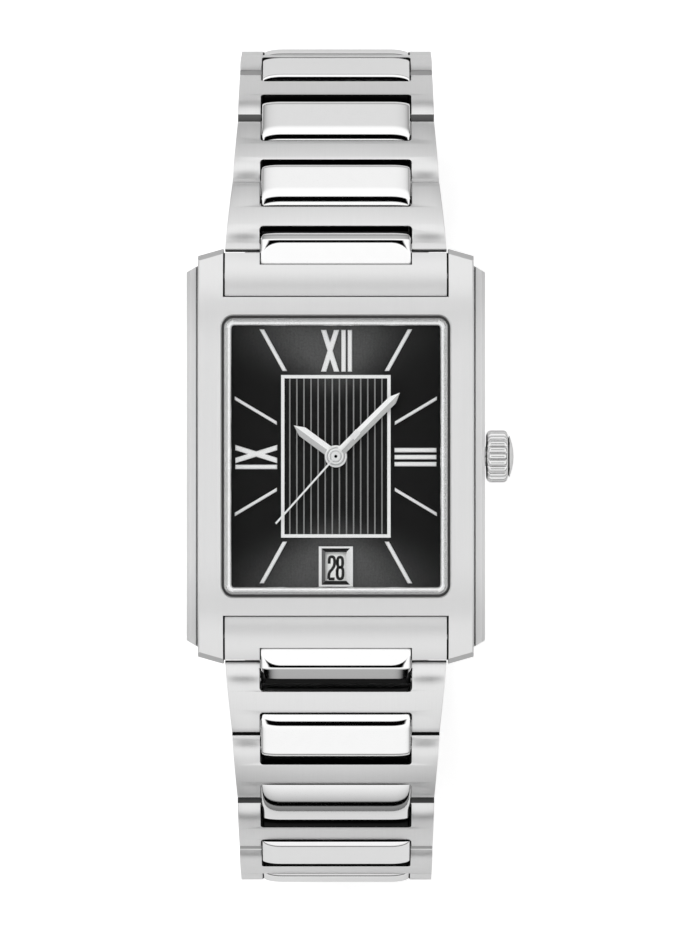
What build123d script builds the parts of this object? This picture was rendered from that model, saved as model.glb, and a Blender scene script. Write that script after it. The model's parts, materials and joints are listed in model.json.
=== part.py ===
"""Rectangular wristwatch with a stepped steel case, black dial and closed link bracelet.

Units are millimetres. The dial faces +Z, twelve o'clock points to +Y and the crown to +X.
The origin is the centre of the case back's outer face, on the axis of the hands.
"""
import os
from math import atan2, cos, degrees, hypot, radians, sin
from build123d import *

os.makedirs("parts", exist_ok=True)

# Driving dimensions: glass, dial and date, which set the width of the movement bay
opening_length = 29.15
opening_corner = 1.25
flange_lip_x = 1.05
flange_lip_y = 1.025
dial_window_length = opening_length - 2 * flange_lip_y
dial_window_corner = 0.45
chapter_length = 5.1
chapter_width = 5.11
date_frame_margin = 0.92
date_frame_end = 0.59
date_frame_side = 0.675
date_frame_gap = 0.01
date_frame_length = chapter_length - date_frame_margin
date_window_width = 2.2
date_window_height = date_frame_length - 2 * date_frame_end
date_window_reach = dial_window_length / 2 - date_frame_gap - date_frame_length / 2
date_disc_lap = 0.05
date_disc_gap = 0.2
date_disc_outer = date_window_reach + date_window_height / 2 + date_disc_lap
date_disc_inner = date_window_reach - date_window_height / 2 - date_disc_lap
bay_undercut = 1.35
bay_end_step = 0.475
movement_bay_width = 2 * (date_disc_outer + date_disc_gap)
movement_bay_length = opening_length - 2 * bay_end_step
opening_width = movement_bay_width - 2 * bay_undercut
dial_window_width = opening_width - 2 * flange_lip_x
centre_frame_width = dial_window_width - 2 * chapter_width
centre_frame_length = dial_window_length - 2 * chapter_length
dial_thickness = 0.4
dial_top = 5.8
glass_seat = 7.0
glass_height = 1.3
bay_clearance = 0.1
fit_clearance = 0.05

# Driving dimensions: case
bay_wall = 1.1
band_step = 1.2
end_wall = 1.925
notch_depth = 5.05
ear_rake = 0.75
ear_step = 1.0
band_rake = 0.7
notch_width = 23.4
plate_width = movement_bay_width + 2 * bay_wall
case_width = plate_width + 2 * band_step
notch_floor_span = opening_length + 2 * end_wall
ear_length_inner = notch_floor_span + 2 * notch_depth
ear_length_outer = ear_length_inner - 2 * ear_rake
band_length_inner = ear_length_outer - 2 * ear_step
band_length_outer = band_length_inner - 2 * band_rake
back_thickness = 1.2
plate_top = 8.0
band_top = 6.6
band_bottom = 1.9
plate_flat_margin = 0.425
flat_length = opening_length + 2 * plate_flat_margin
ear_drop = 1.35
ear_lift = 1.4
overrun = 2.0

# Driving dimensions: bracelet
link_pitch = 7.5
link_rise = 1.55
link_end_rise = 1.25
link_depth = 1.3
near_reach = 1.3
link_gap = 0.13
pocket_width = 15.8
bar_side_gap = 0.2
bar_width = pocket_width - 2 * bar_side_gap
bar_rise = 1.75
bar_depth = 0.9
hinge_pin_radius = 0.5
bar_pin_radius = 0.4
hinge_clearance = 0.03
seat_clearance = 0.02
end_gap = 0.12
end_link_length = 4.5
first_pin_reach = notch_floor_span / 2 + end_gap + end_link_length + link_gap + near_reach
first_pin_height = 5.45
spring_bar_share = 0.46223
end_bar_lap_share = 0.26667
notch_side_gap = 0.2
end_link_width = notch_width - 2 * notch_side_gap
width_shares = [1, 0.93913, 0.895652, 0.886957, 0.886957, 0.886957, 0.886957, 0.886957, 0.886957, 0.886957]
side_widths = [share * end_link_width for share in width_shares]
tilts_12 = [26, 30, 52, 75, 96.2, 123.7, 151.2, 167, 178]
tilts_6 = [16, 28, 50, 67, 98.6, 118.9, 139.2, 164, 178]


def save(piece, name):
    """Label a finished piece and write its file."""
    piece.label = name
    export_step(piece, f"parts/{name}.step")


def level(height):
    """A horizontal sketch plane at a height."""
    return Plane.XY.offset(height)


# Case middle: upper plate with ears, side bands, and everything that is cut into them
plate_half = plate_width / 2
case_half = case_width / 2
notch_half = notch_width / 2
floor_reach = notch_floor_span / 2
ear_inner = ear_length_inner / 2
ear_outer = ear_length_outer / 2
flat_reach = flat_length / 2
ear_face_height = 3.2
ear_end_bevel = 0.55
ear_edge_bevel = 0.15
plate_edge_bevel = 0.15
opening_edge_bevel = 0.12
step_groove_width = 0.22
step_groove_depth = 0.35
band_edge_bevel = 0.35
band_end_bevel = 0.4
bay_half_length = movement_bay_length / 2
bay_corner = 0.6
crown_height = 4.0
crown_tube_radius = 1.0
spring_bar_reach = floor_reach + end_gap + spring_bar_share * end_link_length
spring_bar_height = 4.9
spring_tip_radius = 0.45
spring_tip_length = 1.1
back_screw_inset = 0.3
back_screw_wall = 1.7
back_screw_x = movement_bay_width / 2 - back_screw_inset
back_screw_y = bay_half_length + back_screw_wall
back_screw_shank = 0.45
back_screw_depth = 2.0
gasket_width = 0.4
gasket_depth = 0.4
gasket_margin = 0.8
gasket_ring_width = movement_bay_width + gasket_margin
gasket_ring_length = movement_bay_length + gasket_margin
gasket_corner = 1.0
level_face_share = 0.01
end_face_share = 0.5
side_face_share = 0.99
notch_length = ear_inner - floor_reach + overrun
ear_arc_radius = ((ear_inner - flat_reach) ** 2 + ear_drop ** 2) / (2 * ear_drop)
ear_top_limit = (plate_top + band_top - ear_drop) / 2

with BuildPart() as case_middle:
    with BuildSketch(level(back_thickness)):
        Polygon(
            (plate_half, ear_outer), (notch_half, ear_inner),
            (-notch_half, ear_inner), (-plate_half, ear_outer),
            (-plate_half, -ear_outer), (-notch_half, -ear_inner),
            (notch_half, -ear_inner), (plate_half, -ear_outer),
            align=None,
        )
    extrude(amount=plate_top - back_thickness)
    with BuildSketch(Plane.YZ):
        with BuildLine():
            Polyline((flat_reach, plate_top), (-flat_reach, plate_top))
            RadiusArc((-flat_reach, plate_top), (-ear_inner, plate_top - ear_drop), -ear_arc_radius)
            Polyline(
                (-ear_inner, plate_top - ear_drop),
                (-ear_inner, back_thickness + ear_lift),
                (-floor_reach, back_thickness),
                (floor_reach, back_thickness),
                (ear_inner, back_thickness + ear_lift),
                (ear_inner, plate_top - ear_drop),
            )
            RadiusArc((ear_inner, plate_top - ear_drop), (flat_reach, plate_top), -ear_arc_radius)
        make_face()
    extrude(amount=case_width, both=True, mode=Mode.INTERSECT)
    with BuildSketch(level(back_thickness)):
        with Locations((0, floor_reach + notch_length / 2), (0, -floor_reach - notch_length / 2)):
            Rectangle(notch_width, notch_length)
    extrude(amount=plate_top, mode=Mode.SUBTRACT)
    end_faces = case_middle.faces().filter_by(
        lambda f: abs(f.normal_at().Z) < level_face_share and abs(f.normal_at().Y) > end_face_share)
    ear_ends = end_faces.filter_by(lambda f: abs(f.center().Y) > ear_outer - ear_end_bevel)
    chamfer([face.edges().sort_by(Axis.Z)[-1] for face in ear_ends], ear_end_bevel)
    sides = case_middle.faces().filter_by(
        lambda f: abs(f.normal_at().X) > side_face_share and abs(f.center().X) > notch_half)
    side_tops = [edge for face in sides for edge in face.edges().filter_by(
        lambda e: e.center().Z > ear_top_limit and e.length > 2 * ear_end_bevel)]
    chamfer(side_tops, plate_edge_bevel)
    with BuildSketch(level(band_bottom)):
        Polygon(
            (case_half, band_length_outer / 2), (plate_half, band_length_inner / 2),
            (-plate_half, band_length_inner / 2), (-case_half, band_length_outer / 2),
            (-case_half, -band_length_outer / 2), (-plate_half, -band_length_inner / 2),
            (plate_half, -band_length_inner / 2), (case_half, -band_length_outer / 2),
            align=None,
        )
        Rectangle(2 * plate_half - 2 * step_groove_width, 2 * band_length_inner, mode=Mode.SUBTRACT)
    extrude(amount=band_top - band_bottom)
    with BuildSketch(level(band_top)):
        with Locations((plate_half + step_groove_width / 2, 0), (-plate_half - step_groove_width / 2, 0)):
            Rectangle(step_groove_width, band_length_inner + overrun)
    extrude(amount=-step_groove_depth, mode=Mode.SUBTRACT)
    band_edges = case_middle.edges().filter_by(
        lambda e: abs(e.center().Z - band_top) < fit_clearance
        and abs(abs(e.center().X) - case_half) < fit_clearance)
    chamfer(band_edges, band_edge_bevel)
    with BuildSketch(level(0)):
        RectangleRounded(movement_bay_width, movement_bay_length, bay_corner)
    extrude(amount=dial_top, mode=Mode.SUBTRACT)
    with BuildSketch(level(dial_top)):
        RectangleRounded(opening_width, opening_length, opening_corner)
    extrude(amount=plate_top, mode=Mode.SUBTRACT)
    rim = case_middle.edges().filter_by(
        lambda e: abs(e.center().Z - plate_top) < fit_clearance
        and abs(e.center().X) < opening_width / 2 + fit_clearance
        and abs(e.center().Y) < opening_length / 2 + fit_clearance)
    chamfer(rim, opening_edge_bevel)
    with BuildSketch(level(back_thickness)):
        RectangleRounded(gasket_ring_width + gasket_width, gasket_ring_length + gasket_width, gasket_corner)
        RectangleRounded(
            gasket_ring_width - gasket_width, gasket_ring_length - gasket_width, gasket_corner - gasket_width,
            mode=Mode.SUBTRACT)
    extrude(amount=gasket_depth, mode=Mode.SUBTRACT)
    with BuildSketch(level(back_thickness)):
        with GridLocations(2 * back_screw_x, 2 * back_screw_y, 2, 2):
            Circle(back_screw_shank)
    extrude(amount=back_screw_depth, mode=Mode.SUBTRACT)
    with BuildSketch(Plane.YZ):
        with Locations((0, crown_height)):
            Circle(crown_tube_radius)
    extrude(amount=case_width, mode=Mode.SUBTRACT)
    with BuildSketch(Plane.YZ):
        with Locations((spring_bar_reach, spring_bar_height), (-spring_bar_reach, spring_bar_height)):
            Circle(spring_tip_radius + seat_clearance)
    extrude(amount=notch_half + spring_tip_length, both=True, mode=Mode.SUBTRACT)
save(case_middle.part, "case_middle")

# Case back with its screws and gasket
back_screw_margin = 1.15
back_width = 2 * (back_screw_x + back_screw_margin)
back_length = 2 * (back_screw_y + back_screw_margin)
back_corner = 1.1
back_edge_bevel = 0.35
screw_head_radius = 0.9
screw_head_height = 0.6
screw_recess = 0.15
screw_slot_width = 0.3
screw_slot_depth = 0.25
head_top = screw_recess + screw_head_height

with BuildPart() as case_back:
    with BuildSketch(level(0)):
        RectangleRounded(back_width, back_length, back_corner)
    extrude(amount=back_thickness)
    chamfer(case_back.faces().sort_by(Axis.Z)[0].edges(), back_edge_bevel)
    with BuildSketch(level(0)):
        with GridLocations(2 * back_screw_x, 2 * back_screw_y, 2, 2):
            Circle(screw_head_radius + fit_clearance)
    extrude(amount=head_top, mode=Mode.SUBTRACT)
    with BuildSketch(level(0)):
        with GridLocations(2 * back_screw_x, 2 * back_screw_y, 2, 2):
            Circle(back_screw_shank + fit_clearance)
    extrude(amount=back_thickness, mode=Mode.SUBTRACT)
save(case_back.part, "case_back")

with BuildPart() as case_back_screws:
    with BuildSketch(level(screw_recess)):
        with GridLocations(2 * back_screw_x, 2 * back_screw_y, 2, 2):
            Circle(screw_head_radius)
    extrude(amount=screw_head_height)
    with BuildSketch(level(head_top)):
        with GridLocations(2 * back_screw_x, 2 * back_screw_y, 2, 2):
            Circle(back_screw_shank)
    extrude(amount=back_thickness - head_top + back_screw_depth)
    with BuildSketch(level(screw_recess)):
        with GridLocations(2 * back_screw_x, 2 * back_screw_y, 2, 2):
            Rectangle(2 * screw_head_radius, screw_slot_width)
    extrude(amount=screw_slot_depth, mode=Mode.SUBTRACT)
save(case_back_screws.part, "case_back_screws")

with BuildPart() as case_back_gasket:
    with BuildSketch(level(back_thickness)):
        RectangleRounded(gasket_ring_width + gasket_width, gasket_ring_length + gasket_width, gasket_corner)
        RectangleRounded(
            gasket_ring_width - gasket_width, gasket_ring_length - gasket_width, gasket_corner - gasket_width,
            mode=Mode.SUBTRACT)
    extrude(amount=gasket_depth)
save(case_back_gasket.part, "case_back_gasket")

# Glass, its gasket and the flange ring below it
glass_gasket_width = 0.25
glass_gasket_height = 0.85
glass_width = opening_width - 2 * glass_gasket_width
glass_length = opening_length - 2 * glass_gasket_width
glass_corner = opening_corner - glass_gasket_width
glass_bevel = 0.45
flange_margin = 0.05
flange_spread = 0.35

with BuildPart() as crystal:
    with BuildSketch(level(glass_seat)):
        RectangleRounded(glass_width, glass_length, glass_corner)
    extrude(amount=glass_height)
    chamfer(crystal.faces().sort_by(Axis.Z)[-1].edges(), glass_bevel)
save(crystal.part, "crystal")

with BuildPart() as crystal_gasket:
    with BuildSketch(level(glass_seat)):
        RectangleRounded(opening_width, opening_length, opening_corner)
        RectangleRounded(glass_width, glass_length, glass_corner, mode=Mode.SUBTRACT)
    extrude(amount=glass_gasket_height)
save(crystal_gasket.part, "crystal_gasket")

with BuildPart() as dial_flange:
    with BuildSketch(level(dial_top)):
        RectangleRounded(
            opening_width - 2 * flange_margin, opening_length - 2 * flange_margin, opening_corner)
    extrude(amount=glass_seat - dial_top)
    with BuildSketch(level(dial_top)):
        RectangleRounded(dial_window_width, dial_window_length, dial_window_corner)
    with BuildSketch(level(glass_seat)):
        RectangleRounded(
            dial_window_width + 2 * flange_spread, dial_window_length + 2 * flange_spread,
            dial_window_corner + flange_spread)
    loft(mode=Mode.SUBTRACT)
save(dial_flange.part, "dial_flange")

# Dial plate with its ribbed centre field, date window and feet
dial_width = movement_bay_width - 6 * bay_clearance
dial_length = movement_bay_length - 2 * bay_clearance
dial_corner = 0.5
dial_hole_radius = 0.82
centre_frame_line = 0.35
centre_frame_height = 0.2
rib_count = 14
rib_end_share = 0.491
rib_spacing = (centre_frame_width - 2 * centre_frame_line) / (rib_count + rib_end_share)
rib_width = 0.14
rib_height = 0.05
rib_length = centre_frame_length - 2 * centre_frame_line
dial_foot_radius = 0.35
dial_foot_length = 1.0
dial_foot_offset = 6.4
dial_bottom = dial_top - dial_thickness

with BuildPart() as dial_plate:
    with BuildSketch(level(dial_bottom)):
        RectangleRounded(dial_width, dial_length, dial_corner)
    extrude(amount=dial_thickness)
    with BuildSketch(level(dial_top)):
        with GridLocations(rib_spacing, 0, rib_count, 1):
            Rectangle(rib_width, rib_length)
    extrude(amount=rib_height)
    with BuildSketch(level(dial_bottom)):
        with Locations((dial_foot_offset, dial_foot_offset), (-dial_foot_offset, -dial_foot_offset)):
            Circle(dial_foot_radius)
    extrude(amount=-dial_foot_length)
    with BuildSketch(level(dial_bottom)):
        Circle(dial_hole_radius)
        with Locations((0, -date_window_reach)):
            Rectangle(date_window_width, date_window_height)
    extrude(amount=dial_thickness + rib_height, mode=Mode.SUBTRACT)
save(dial_plate.part, "dial_plate")

with BuildPart() as dial_frame:
    with BuildSketch(level(dial_top)):
        Rectangle(centre_frame_width, centre_frame_length)
        Rectangle(
            centre_frame_width - 2 * centre_frame_line, centre_frame_length - 2 * centre_frame_line,
            mode=Mode.SUBTRACT)
    extrude(amount=centre_frame_height)
save(dial_frame.part, "dial_frame")

# Applied date window frame: a flat rim that slopes down to the opening
date_frame_width = date_window_width + 2 * date_frame_side
date_frame_rim_x = 0.3
date_frame_rim_y = 0.2
date_frame_height = 0.25
date_frame_inner_height = 0.03

with BuildPart() as date_frame:
    with BuildSketch(level(dial_top)):
        with Locations((0, -date_window_reach)):
            Rectangle(date_frame_width, date_frame_length)
    extrude(amount=date_frame_height)
    with BuildSketch(level(dial_top + date_frame_height)):
        with Locations((0, -date_window_reach)):
            Rectangle(date_frame_width - 2 * date_frame_rim_x, date_frame_length - 2 * date_frame_rim_y)
    with BuildSketch(level(dial_top + date_frame_inner_height)):
        with Locations((0, -date_window_reach)):
            Rectangle(date_window_width, date_window_height)
    loft(mode=Mode.SUBTRACT)
    with BuildSketch(level(dial_top)):
        with Locations((0, -date_window_reach)):
            Rectangle(date_window_width, date_window_height)
    extrude(amount=date_frame_height, mode=Mode.SUBTRACT)
save(date_frame.part, "date_frame")

# Applied hour batons: four lean across the top and bottom, four across the sides
marker_height = 0.28
marker_bevel = 0.08
baton_margin_outer = 0.35
baton_margin_inner = 0.42
numeral_margin_outer = 0.41
numeral_margin_inner = 0.35
side_baton_margin_outer = 0.3
side_baton_margin_inner = 0.44
side_numeral_margin_outer = 0.35
side_numeral_margin_inner = 0.41
frame_half_x = centre_frame_width / 2
frame_half_y = centre_frame_length / 2
window_half_x = dial_window_width / 2
window_half_y = dial_window_length / 2
steep_baton_outer_x = 7.7
steep_baton_inner_x = 5.3
flat_baton_outer_y = 6.04
flat_baton_inner_y = 3.44
steep_baton_outer = (steep_baton_outer_x, window_half_y - baton_margin_outer)
steep_baton_inner = (steep_baton_inner_x, frame_half_y + baton_margin_inner)
steep_baton_spread = 0.47
flat_baton_outer = (window_half_x - side_baton_margin_outer, flat_baton_outer_y)
flat_baton_inner = (frame_half_x + side_baton_margin_inner, flat_baton_inner_y)
flat_baton_spread = 0.37


def baton(outer, inner, along_x):
    """Outline of one baton whose ends are cut square to the dial's edges."""
    dx, dy = (steep_baton_spread / 2, 0) if along_x else (0, flat_baton_spread / 2)
    return [
        (outer[0] + dx, outer[1] + dy), (inner[0] + dx, inner[1] + dy),
        (inner[0] - dx, inner[1] - dy), (outer[0] - dx, outer[1] - dy),
    ]


with BuildPart() as hour_batons:
    for sign_x in (1, -1):
        for sign_y in (1, -1):
            for outer, inner, along_x in (
                    (steep_baton_outer, steep_baton_inner, True),
                    (flat_baton_outer, flat_baton_inner, False)):
                corners = [(sign_x * x, sign_y * y) for x, y in baton(outer, inner, along_x)]
                with BuildSketch(level(dial_top)):
                    Polygon(*corners, align=None)
                extrude(amount=marker_height)
    chamfer(hour_batons.edges().filter_by(
        lambda e: abs(e.center().Z - dial_top - marker_height) < marker_bevel / 2), marker_bevel)
save(hour_batons.part, "hour_batons")

# Applied hour numerals at twelve, three and nine
numeral_inner_12 = frame_half_y + numeral_margin_inner
numeral_outer_12 = window_half_y - numeral_margin_outer
numeral_inner_side = frame_half_x + side_numeral_margin_inner
numeral_outer_side = window_half_x - side_numeral_margin_outer
bar_stroke = 0.45
cross_stroke = 0.55
cross_width = 1.9
bar_spacing = 0.73
bar_spacing_12 = 0.66
cross_12_x = -0.6
first_bar_12_x = 0.8
nine_cross_y = 0.24
nine_bar_y = -1.1
three_shift = 0.08


def stroke(start, end, width, across):
    """Outline of one straight numeral stroke, cut square at both ends."""
    dx, dy = across[0] * width / 2, across[1] * width / 2
    return [
        (start[0] + dx, start[1] + dy), (end[0] + dx, end[1] + dy),
        (end[0] - dx, end[1] - dy), (start[0] - dx, start[1] - dy),
    ]


cross_reach = (cross_width - cross_stroke) / 2
numeral_outlines = [
    [stroke((cross_12_x - cross_reach, numeral_outer_12), (cross_12_x + cross_reach, numeral_inner_12),
            cross_stroke, (1, 0)),
     stroke((cross_12_x + cross_reach, numeral_outer_12), (cross_12_x - cross_reach, numeral_inner_12),
            cross_stroke, (1, 0))],
    [stroke((first_bar_12_x, numeral_outer_12), (first_bar_12_x, numeral_inner_12), bar_stroke, (1, 0))],
    [stroke((first_bar_12_x + bar_spacing_12, numeral_outer_12),
            (first_bar_12_x + bar_spacing_12, numeral_inner_12), bar_stroke, (1, 0))],
    [stroke((-numeral_outer_side, nine_cross_y - cross_reach),
            (-numeral_inner_side, nine_cross_y + cross_reach), cross_stroke, (0, 1)),
     stroke((-numeral_outer_side, nine_cross_y + cross_reach),
            (-numeral_inner_side, nine_cross_y - cross_reach), cross_stroke, (0, 1))],
    [stroke((-numeral_outer_side, nine_bar_y), (-numeral_inner_side, nine_bar_y), bar_stroke, (0, 1))],
]
for step in (-1, 0, 1):
    numeral_outlines.append([stroke(
        (numeral_outer_side, step * bar_spacing - three_shift),
        (numeral_inner_side, step * bar_spacing - three_shift),
        bar_stroke, (0, 1))])

with BuildPart() as hour_numerals:
    for outlines in numeral_outlines:
        with BuildSketch(level(dial_top)):
            for outline in outlines:
                Polygon(*outline, align=None)
        extrude(amount=marker_height)
    chamfer(hour_numerals.edges().filter_by(
        lambda e: abs(e.center().Z - dial_top - marker_height) < marker_bevel / 2), marker_bevel)
save(hour_numerals.part, "hour_numerals")

# Movement: holder, plate, board, coil, cell and clamp
plate_bottom_z = 3.6
plate_top_z = 5.0
plate_radius = 11.4
holder_bore_radius = plate_radius + bay_clearance
holder_bottom = 1.35
date_disc_bottom = 5.12
date_disc_thickness = 0.2
date_tooth_count = 31
date_tooth_width = 0.35
date_tooth_length = 0.5
stem_radius = 0.5
stem_clearance = 0.12
cell_radius = 4.75
cell_bottom = 1.55
cell_offset = 4.4
cell_rim_step = 0.25
clamp_thickness = 0.15
clamp_gap = 0.02
clamp_width = 2.4
clamp_overlap = 0.65
clamp_reach = cell_radius + clamp_overlap
board_thickness = 0.25
board_radius = 10.9
board_edge_y = -1.2
chip_width = 2.6
chip_height = 0.7
chip_x = 4.6
oscillator_length = 3.6
oscillator_width = 1.1
coil_radius = 0.85
coil_core_radius = 0.3
coil_length = 7.0
coil_core_length = 9.0
coil_x = -3.0
coil_y = -6.6
coil_height = 2.4
wheel_recess_depth = 0.55
arbor_foot_radius = 0.25
stem_slot_start = 5.3
stem_slot_width = 2 * (stem_radius + stem_clearance)
stem_slot_top = crown_height + stem_radius + stem_clearance
train_distance = 2.6
gear_gap = 0.06
recess_clearance = 0.15
cannon_tooth_count = 12
minute_wheel_tooth_count = 36
minute_pinion_tooth_count = 10
hour_wheel_tooth_count = 40
cannon_teeth_share = cannon_tooth_count / (cannon_tooth_count + minute_wheel_tooth_count)
pinion_teeth_share = minute_pinion_tooth_count / (minute_pinion_tooth_count + hour_wheel_tooth_count)
cannon_gear_radius = train_distance * cannon_teeth_share - gear_gap / 2
minute_wheel_radius = train_distance * (1 - cannon_teeth_share) - gear_gap / 2
minute_pinion_radius = train_distance * pinion_teeth_share - gear_gap / 2
hour_wheel_radius = train_distance * (1 - pinion_teeth_share) - gear_gap / 2
wheel_recess_radius = minute_wheel_radius + recess_clearance
cannon_recess_radius = cannon_gear_radius + recess_clearance
board_bottom = plate_bottom_z - board_thickness

with BuildPart() as movement_holder:
    with BuildSketch(level(holder_bottom)):
        RectangleRounded(
            movement_bay_width - 2 * bay_clearance, movement_bay_length - 2 * bay_clearance,
            bay_corner - bay_clearance)
    extrude(amount=dial_bottom - holder_bottom)
    with BuildSketch(level(holder_bottom)):
        Circle(holder_bore_radius)
    extrude(amount=dial_bottom, mode=Mode.SUBTRACT)
    with BuildSketch(level(plate_top_z)):
        Circle(date_disc_outer + 2 * bay_clearance)
    extrude(amount=dial_bottom, mode=Mode.SUBTRACT)
    with BuildSketch(Plane.YZ):
        with Locations((0, crown_height)):
            Circle(stem_radius + 2 * stem_clearance)
    extrude(amount=case_width, mode=Mode.SUBTRACT)
save(movement_holder.part, "movement_holder")

with BuildPart() as movement_plate:
    with BuildSketch(level(plate_bottom_z)):
        Circle(plate_radius)
    extrude(amount=plate_top_z - plate_bottom_z)
    with BuildSketch(level(plate_top_z)):
        with Locations((train_distance, 0)):
            Circle(wheel_recess_radius)
        Circle(cannon_recess_radius)
    extrude(amount=-wheel_recess_depth, mode=Mode.SUBTRACT)
    with BuildSketch(level(plate_top_z)):
        Circle(arbor_foot_radius)
    extrude(amount=-plate_top_z, mode=Mode.SUBTRACT)
    with BuildSketch(level(plate_top_z)):
        with Locations((dial_foot_offset, dial_foot_offset), (-dial_foot_offset, -dial_foot_offset)):
            Circle(dial_foot_radius + fit_clearance)
    extrude(amount=-plate_top_z, mode=Mode.SUBTRACT)
    with BuildSketch(level(plate_bottom_z)):
        with Locations(((stem_slot_start + plate_radius + overrun) / 2, 0)):
            Rectangle(plate_radius + overrun - stem_slot_start, stem_slot_width)
    extrude(amount=stem_slot_top - plate_bottom_z, mode=Mode.SUBTRACT)
save(movement_plate.part, "movement_plate")

with BuildPart() as battery_cell:
    with BuildSketch(level(cell_bottom)):
        with Locations((-cell_offset, cell_offset)):
            Circle(cell_radius)
    extrude(amount=plate_bottom_z - cell_bottom - cell_rim_step)
    with BuildSketch(level(plate_bottom_z - cell_rim_step)):
        with Locations((-cell_offset, cell_offset)):
            Circle(cell_radius - cell_rim_step)
    extrude(amount=cell_rim_step)
save(battery_cell.part, "battery_cell")

leg_place = clamp_reach - clamp_thickness
clamp_plane = Plane(
    origin=(-cell_offset, cell_offset, cell_bottom - clamp_gap), x_dir=(1, 1, 0), z_dir=(0, 0, -1))
with BuildPart() as battery_clamp:
    with BuildSketch(clamp_plane):
        Rectangle(2 * clamp_reach, clamp_width)
    extrude(amount=clamp_thickness)
    with BuildSketch(clamp_plane):
        with Locations((leg_place, 0), (-leg_place, 0)):
            Rectangle(2 * clamp_thickness, clamp_width)
    extrude(amount=-(plate_bottom_z - cell_bottom))
save(battery_clamp.part, "battery_clamp")

with BuildPart() as circuit_board:
    with BuildSketch(level(board_bottom)):
        Circle(board_radius)
        with Locations((0, board_edge_y + board_radius)):
            Rectangle(2 * board_radius, 2 * board_radius, mode=Mode.SUBTRACT)
        with Locations((-cell_offset, cell_offset)):
            Circle(cell_radius + 4 * bay_clearance, mode=Mode.SUBTRACT)
    extrude(amount=board_thickness)
    with BuildSketch(level(board_bottom)):
        with Locations((chip_x, coil_y)):
            Rectangle(chip_width, chip_width)
        with Locations((chip_x, coil_y + chip_width)):
            Rectangle(oscillator_length, oscillator_width)
    extrude(amount=-chip_height)
    with BuildSketch(level(board_bottom)):
        with Locations((dial_foot_offset, dial_foot_offset), (-dial_foot_offset, -dial_foot_offset)):
            Circle(2 * dial_foot_radius)
    extrude(amount=board_thickness, mode=Mode.SUBTRACT)
save(circuit_board.part, "circuit_board")

with BuildPart() as drive_coil:
    with BuildSketch(Plane.YZ.offset(coil_x)):
        with Locations((coil_y, coil_height)):
            Circle(coil_radius)
    extrude(amount=coil_length / 2, both=True)
    with BuildSketch(Plane.YZ.offset(coil_x)):
        with Locations((coil_y, coil_height)):
            Circle(coil_core_radius)
    extrude(amount=coil_core_length / 2, both=True)
save(drive_coil.part, "drive_coil")

# Wheels and hands, from the hour wheel at the bottom to the second hand at the top
hour_tube_radius = 0.7
hour_tube_bore = 0.52
cannon_radius = 0.45
cannon_inner = 0.22
arbor_radius = 0.15
tooth_depth = 0.18
tooth_width = 0.14
wheel_thickness = 0.16
wheel_gap = 0.05
hour_hand_bottom = 6.12
hour_hand_thickness = 0.22
hand_gap = 0.09
minute_hand_bottom = hour_hand_bottom + hour_hand_thickness + hand_gap
minute_hand_thickness = 0.18
second_hand_bottom = minute_hand_bottom + minute_hand_thickness + hand_gap
second_hand_thickness = 0.1
hour_wheel_bottom = plate_top_z + wheel_gap
minute_wheel_bottom = plate_top_z - wheel_recess_depth + wheel_gap
minute_axle_radius = 0.2


def toothed_disc(radius, tooth_count, bore, place):
    """Flat wheel outline with square teeth; its outer radius is the given one."""
    with Locations(place):
        Circle(radius - tooth_depth)
        with PolarLocations(radius - tooth_depth, tooth_count):
            Rectangle(2 * tooth_depth, tooth_width)
        if bore:
            Circle(bore, mode=Mode.SUBTRACT)


with BuildPart() as hour_wheel:
    with BuildSketch(level(hour_wheel_bottom)):
        toothed_disc(hour_wheel_radius, hour_wheel_tooth_count, hour_tube_bore, (0, 0))
    extrude(amount=wheel_thickness)
    with BuildSketch(level(hour_wheel_bottom)):
        Circle(hour_tube_radius)
        Circle(hour_tube_bore, mode=Mode.SUBTRACT)
    extrude(amount=hour_hand_bottom + hour_hand_thickness - hour_wheel_bottom)
save(hour_wheel.part, "hour_wheel")

with BuildPart() as cannon_pinion:
    with BuildSketch(level(minute_wheel_bottom)):
        toothed_disc(cannon_gear_radius, cannon_tooth_count, cannon_inner, (0, 0))
    extrude(amount=wheel_thickness)
    with BuildSketch(level(minute_wheel_bottom)):
        Circle(cannon_radius)
        Circle(cannon_inner, mode=Mode.SUBTRACT)
    extrude(amount=minute_hand_bottom + minute_hand_thickness - minute_wheel_bottom)
save(cannon_pinion.part, "cannon_pinion")

with BuildPart() as seconds_arbor:
    with BuildSketch(level(plate_bottom_z)):
        Circle(arbor_radius)
    extrude(amount=second_hand_bottom + second_hand_thickness - plate_bottom_z)
save(seconds_arbor.part, "seconds_arbor")

with BuildPart() as minute_wheel:
    with BuildSketch(level(minute_wheel_bottom)):
        toothed_disc(minute_wheel_radius, minute_wheel_tooth_count, minute_axle_radius, (train_distance, 0))
    extrude(amount=wheel_thickness)
    with BuildSketch(level(minute_wheel_bottom + wheel_thickness)):
        toothed_disc(minute_pinion_radius, minute_pinion_tooth_count, minute_axle_radius, (train_distance, 0))
    extrude(amount=plate_top_z - minute_wheel_bottom)
save(minute_wheel.part, "minute_wheel")

with BuildPart() as date_disc:
    with BuildSketch(level(date_disc_bottom)):
        Circle(date_disc_outer)
        Circle(date_disc_inner, mode=Mode.SUBTRACT)
        with PolarLocations(date_disc_inner, date_tooth_count):
            Rectangle(date_tooth_length, date_tooth_width)
    extrude(amount=date_disc_thickness)
save(date_disc.part, "date_disc")

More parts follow.
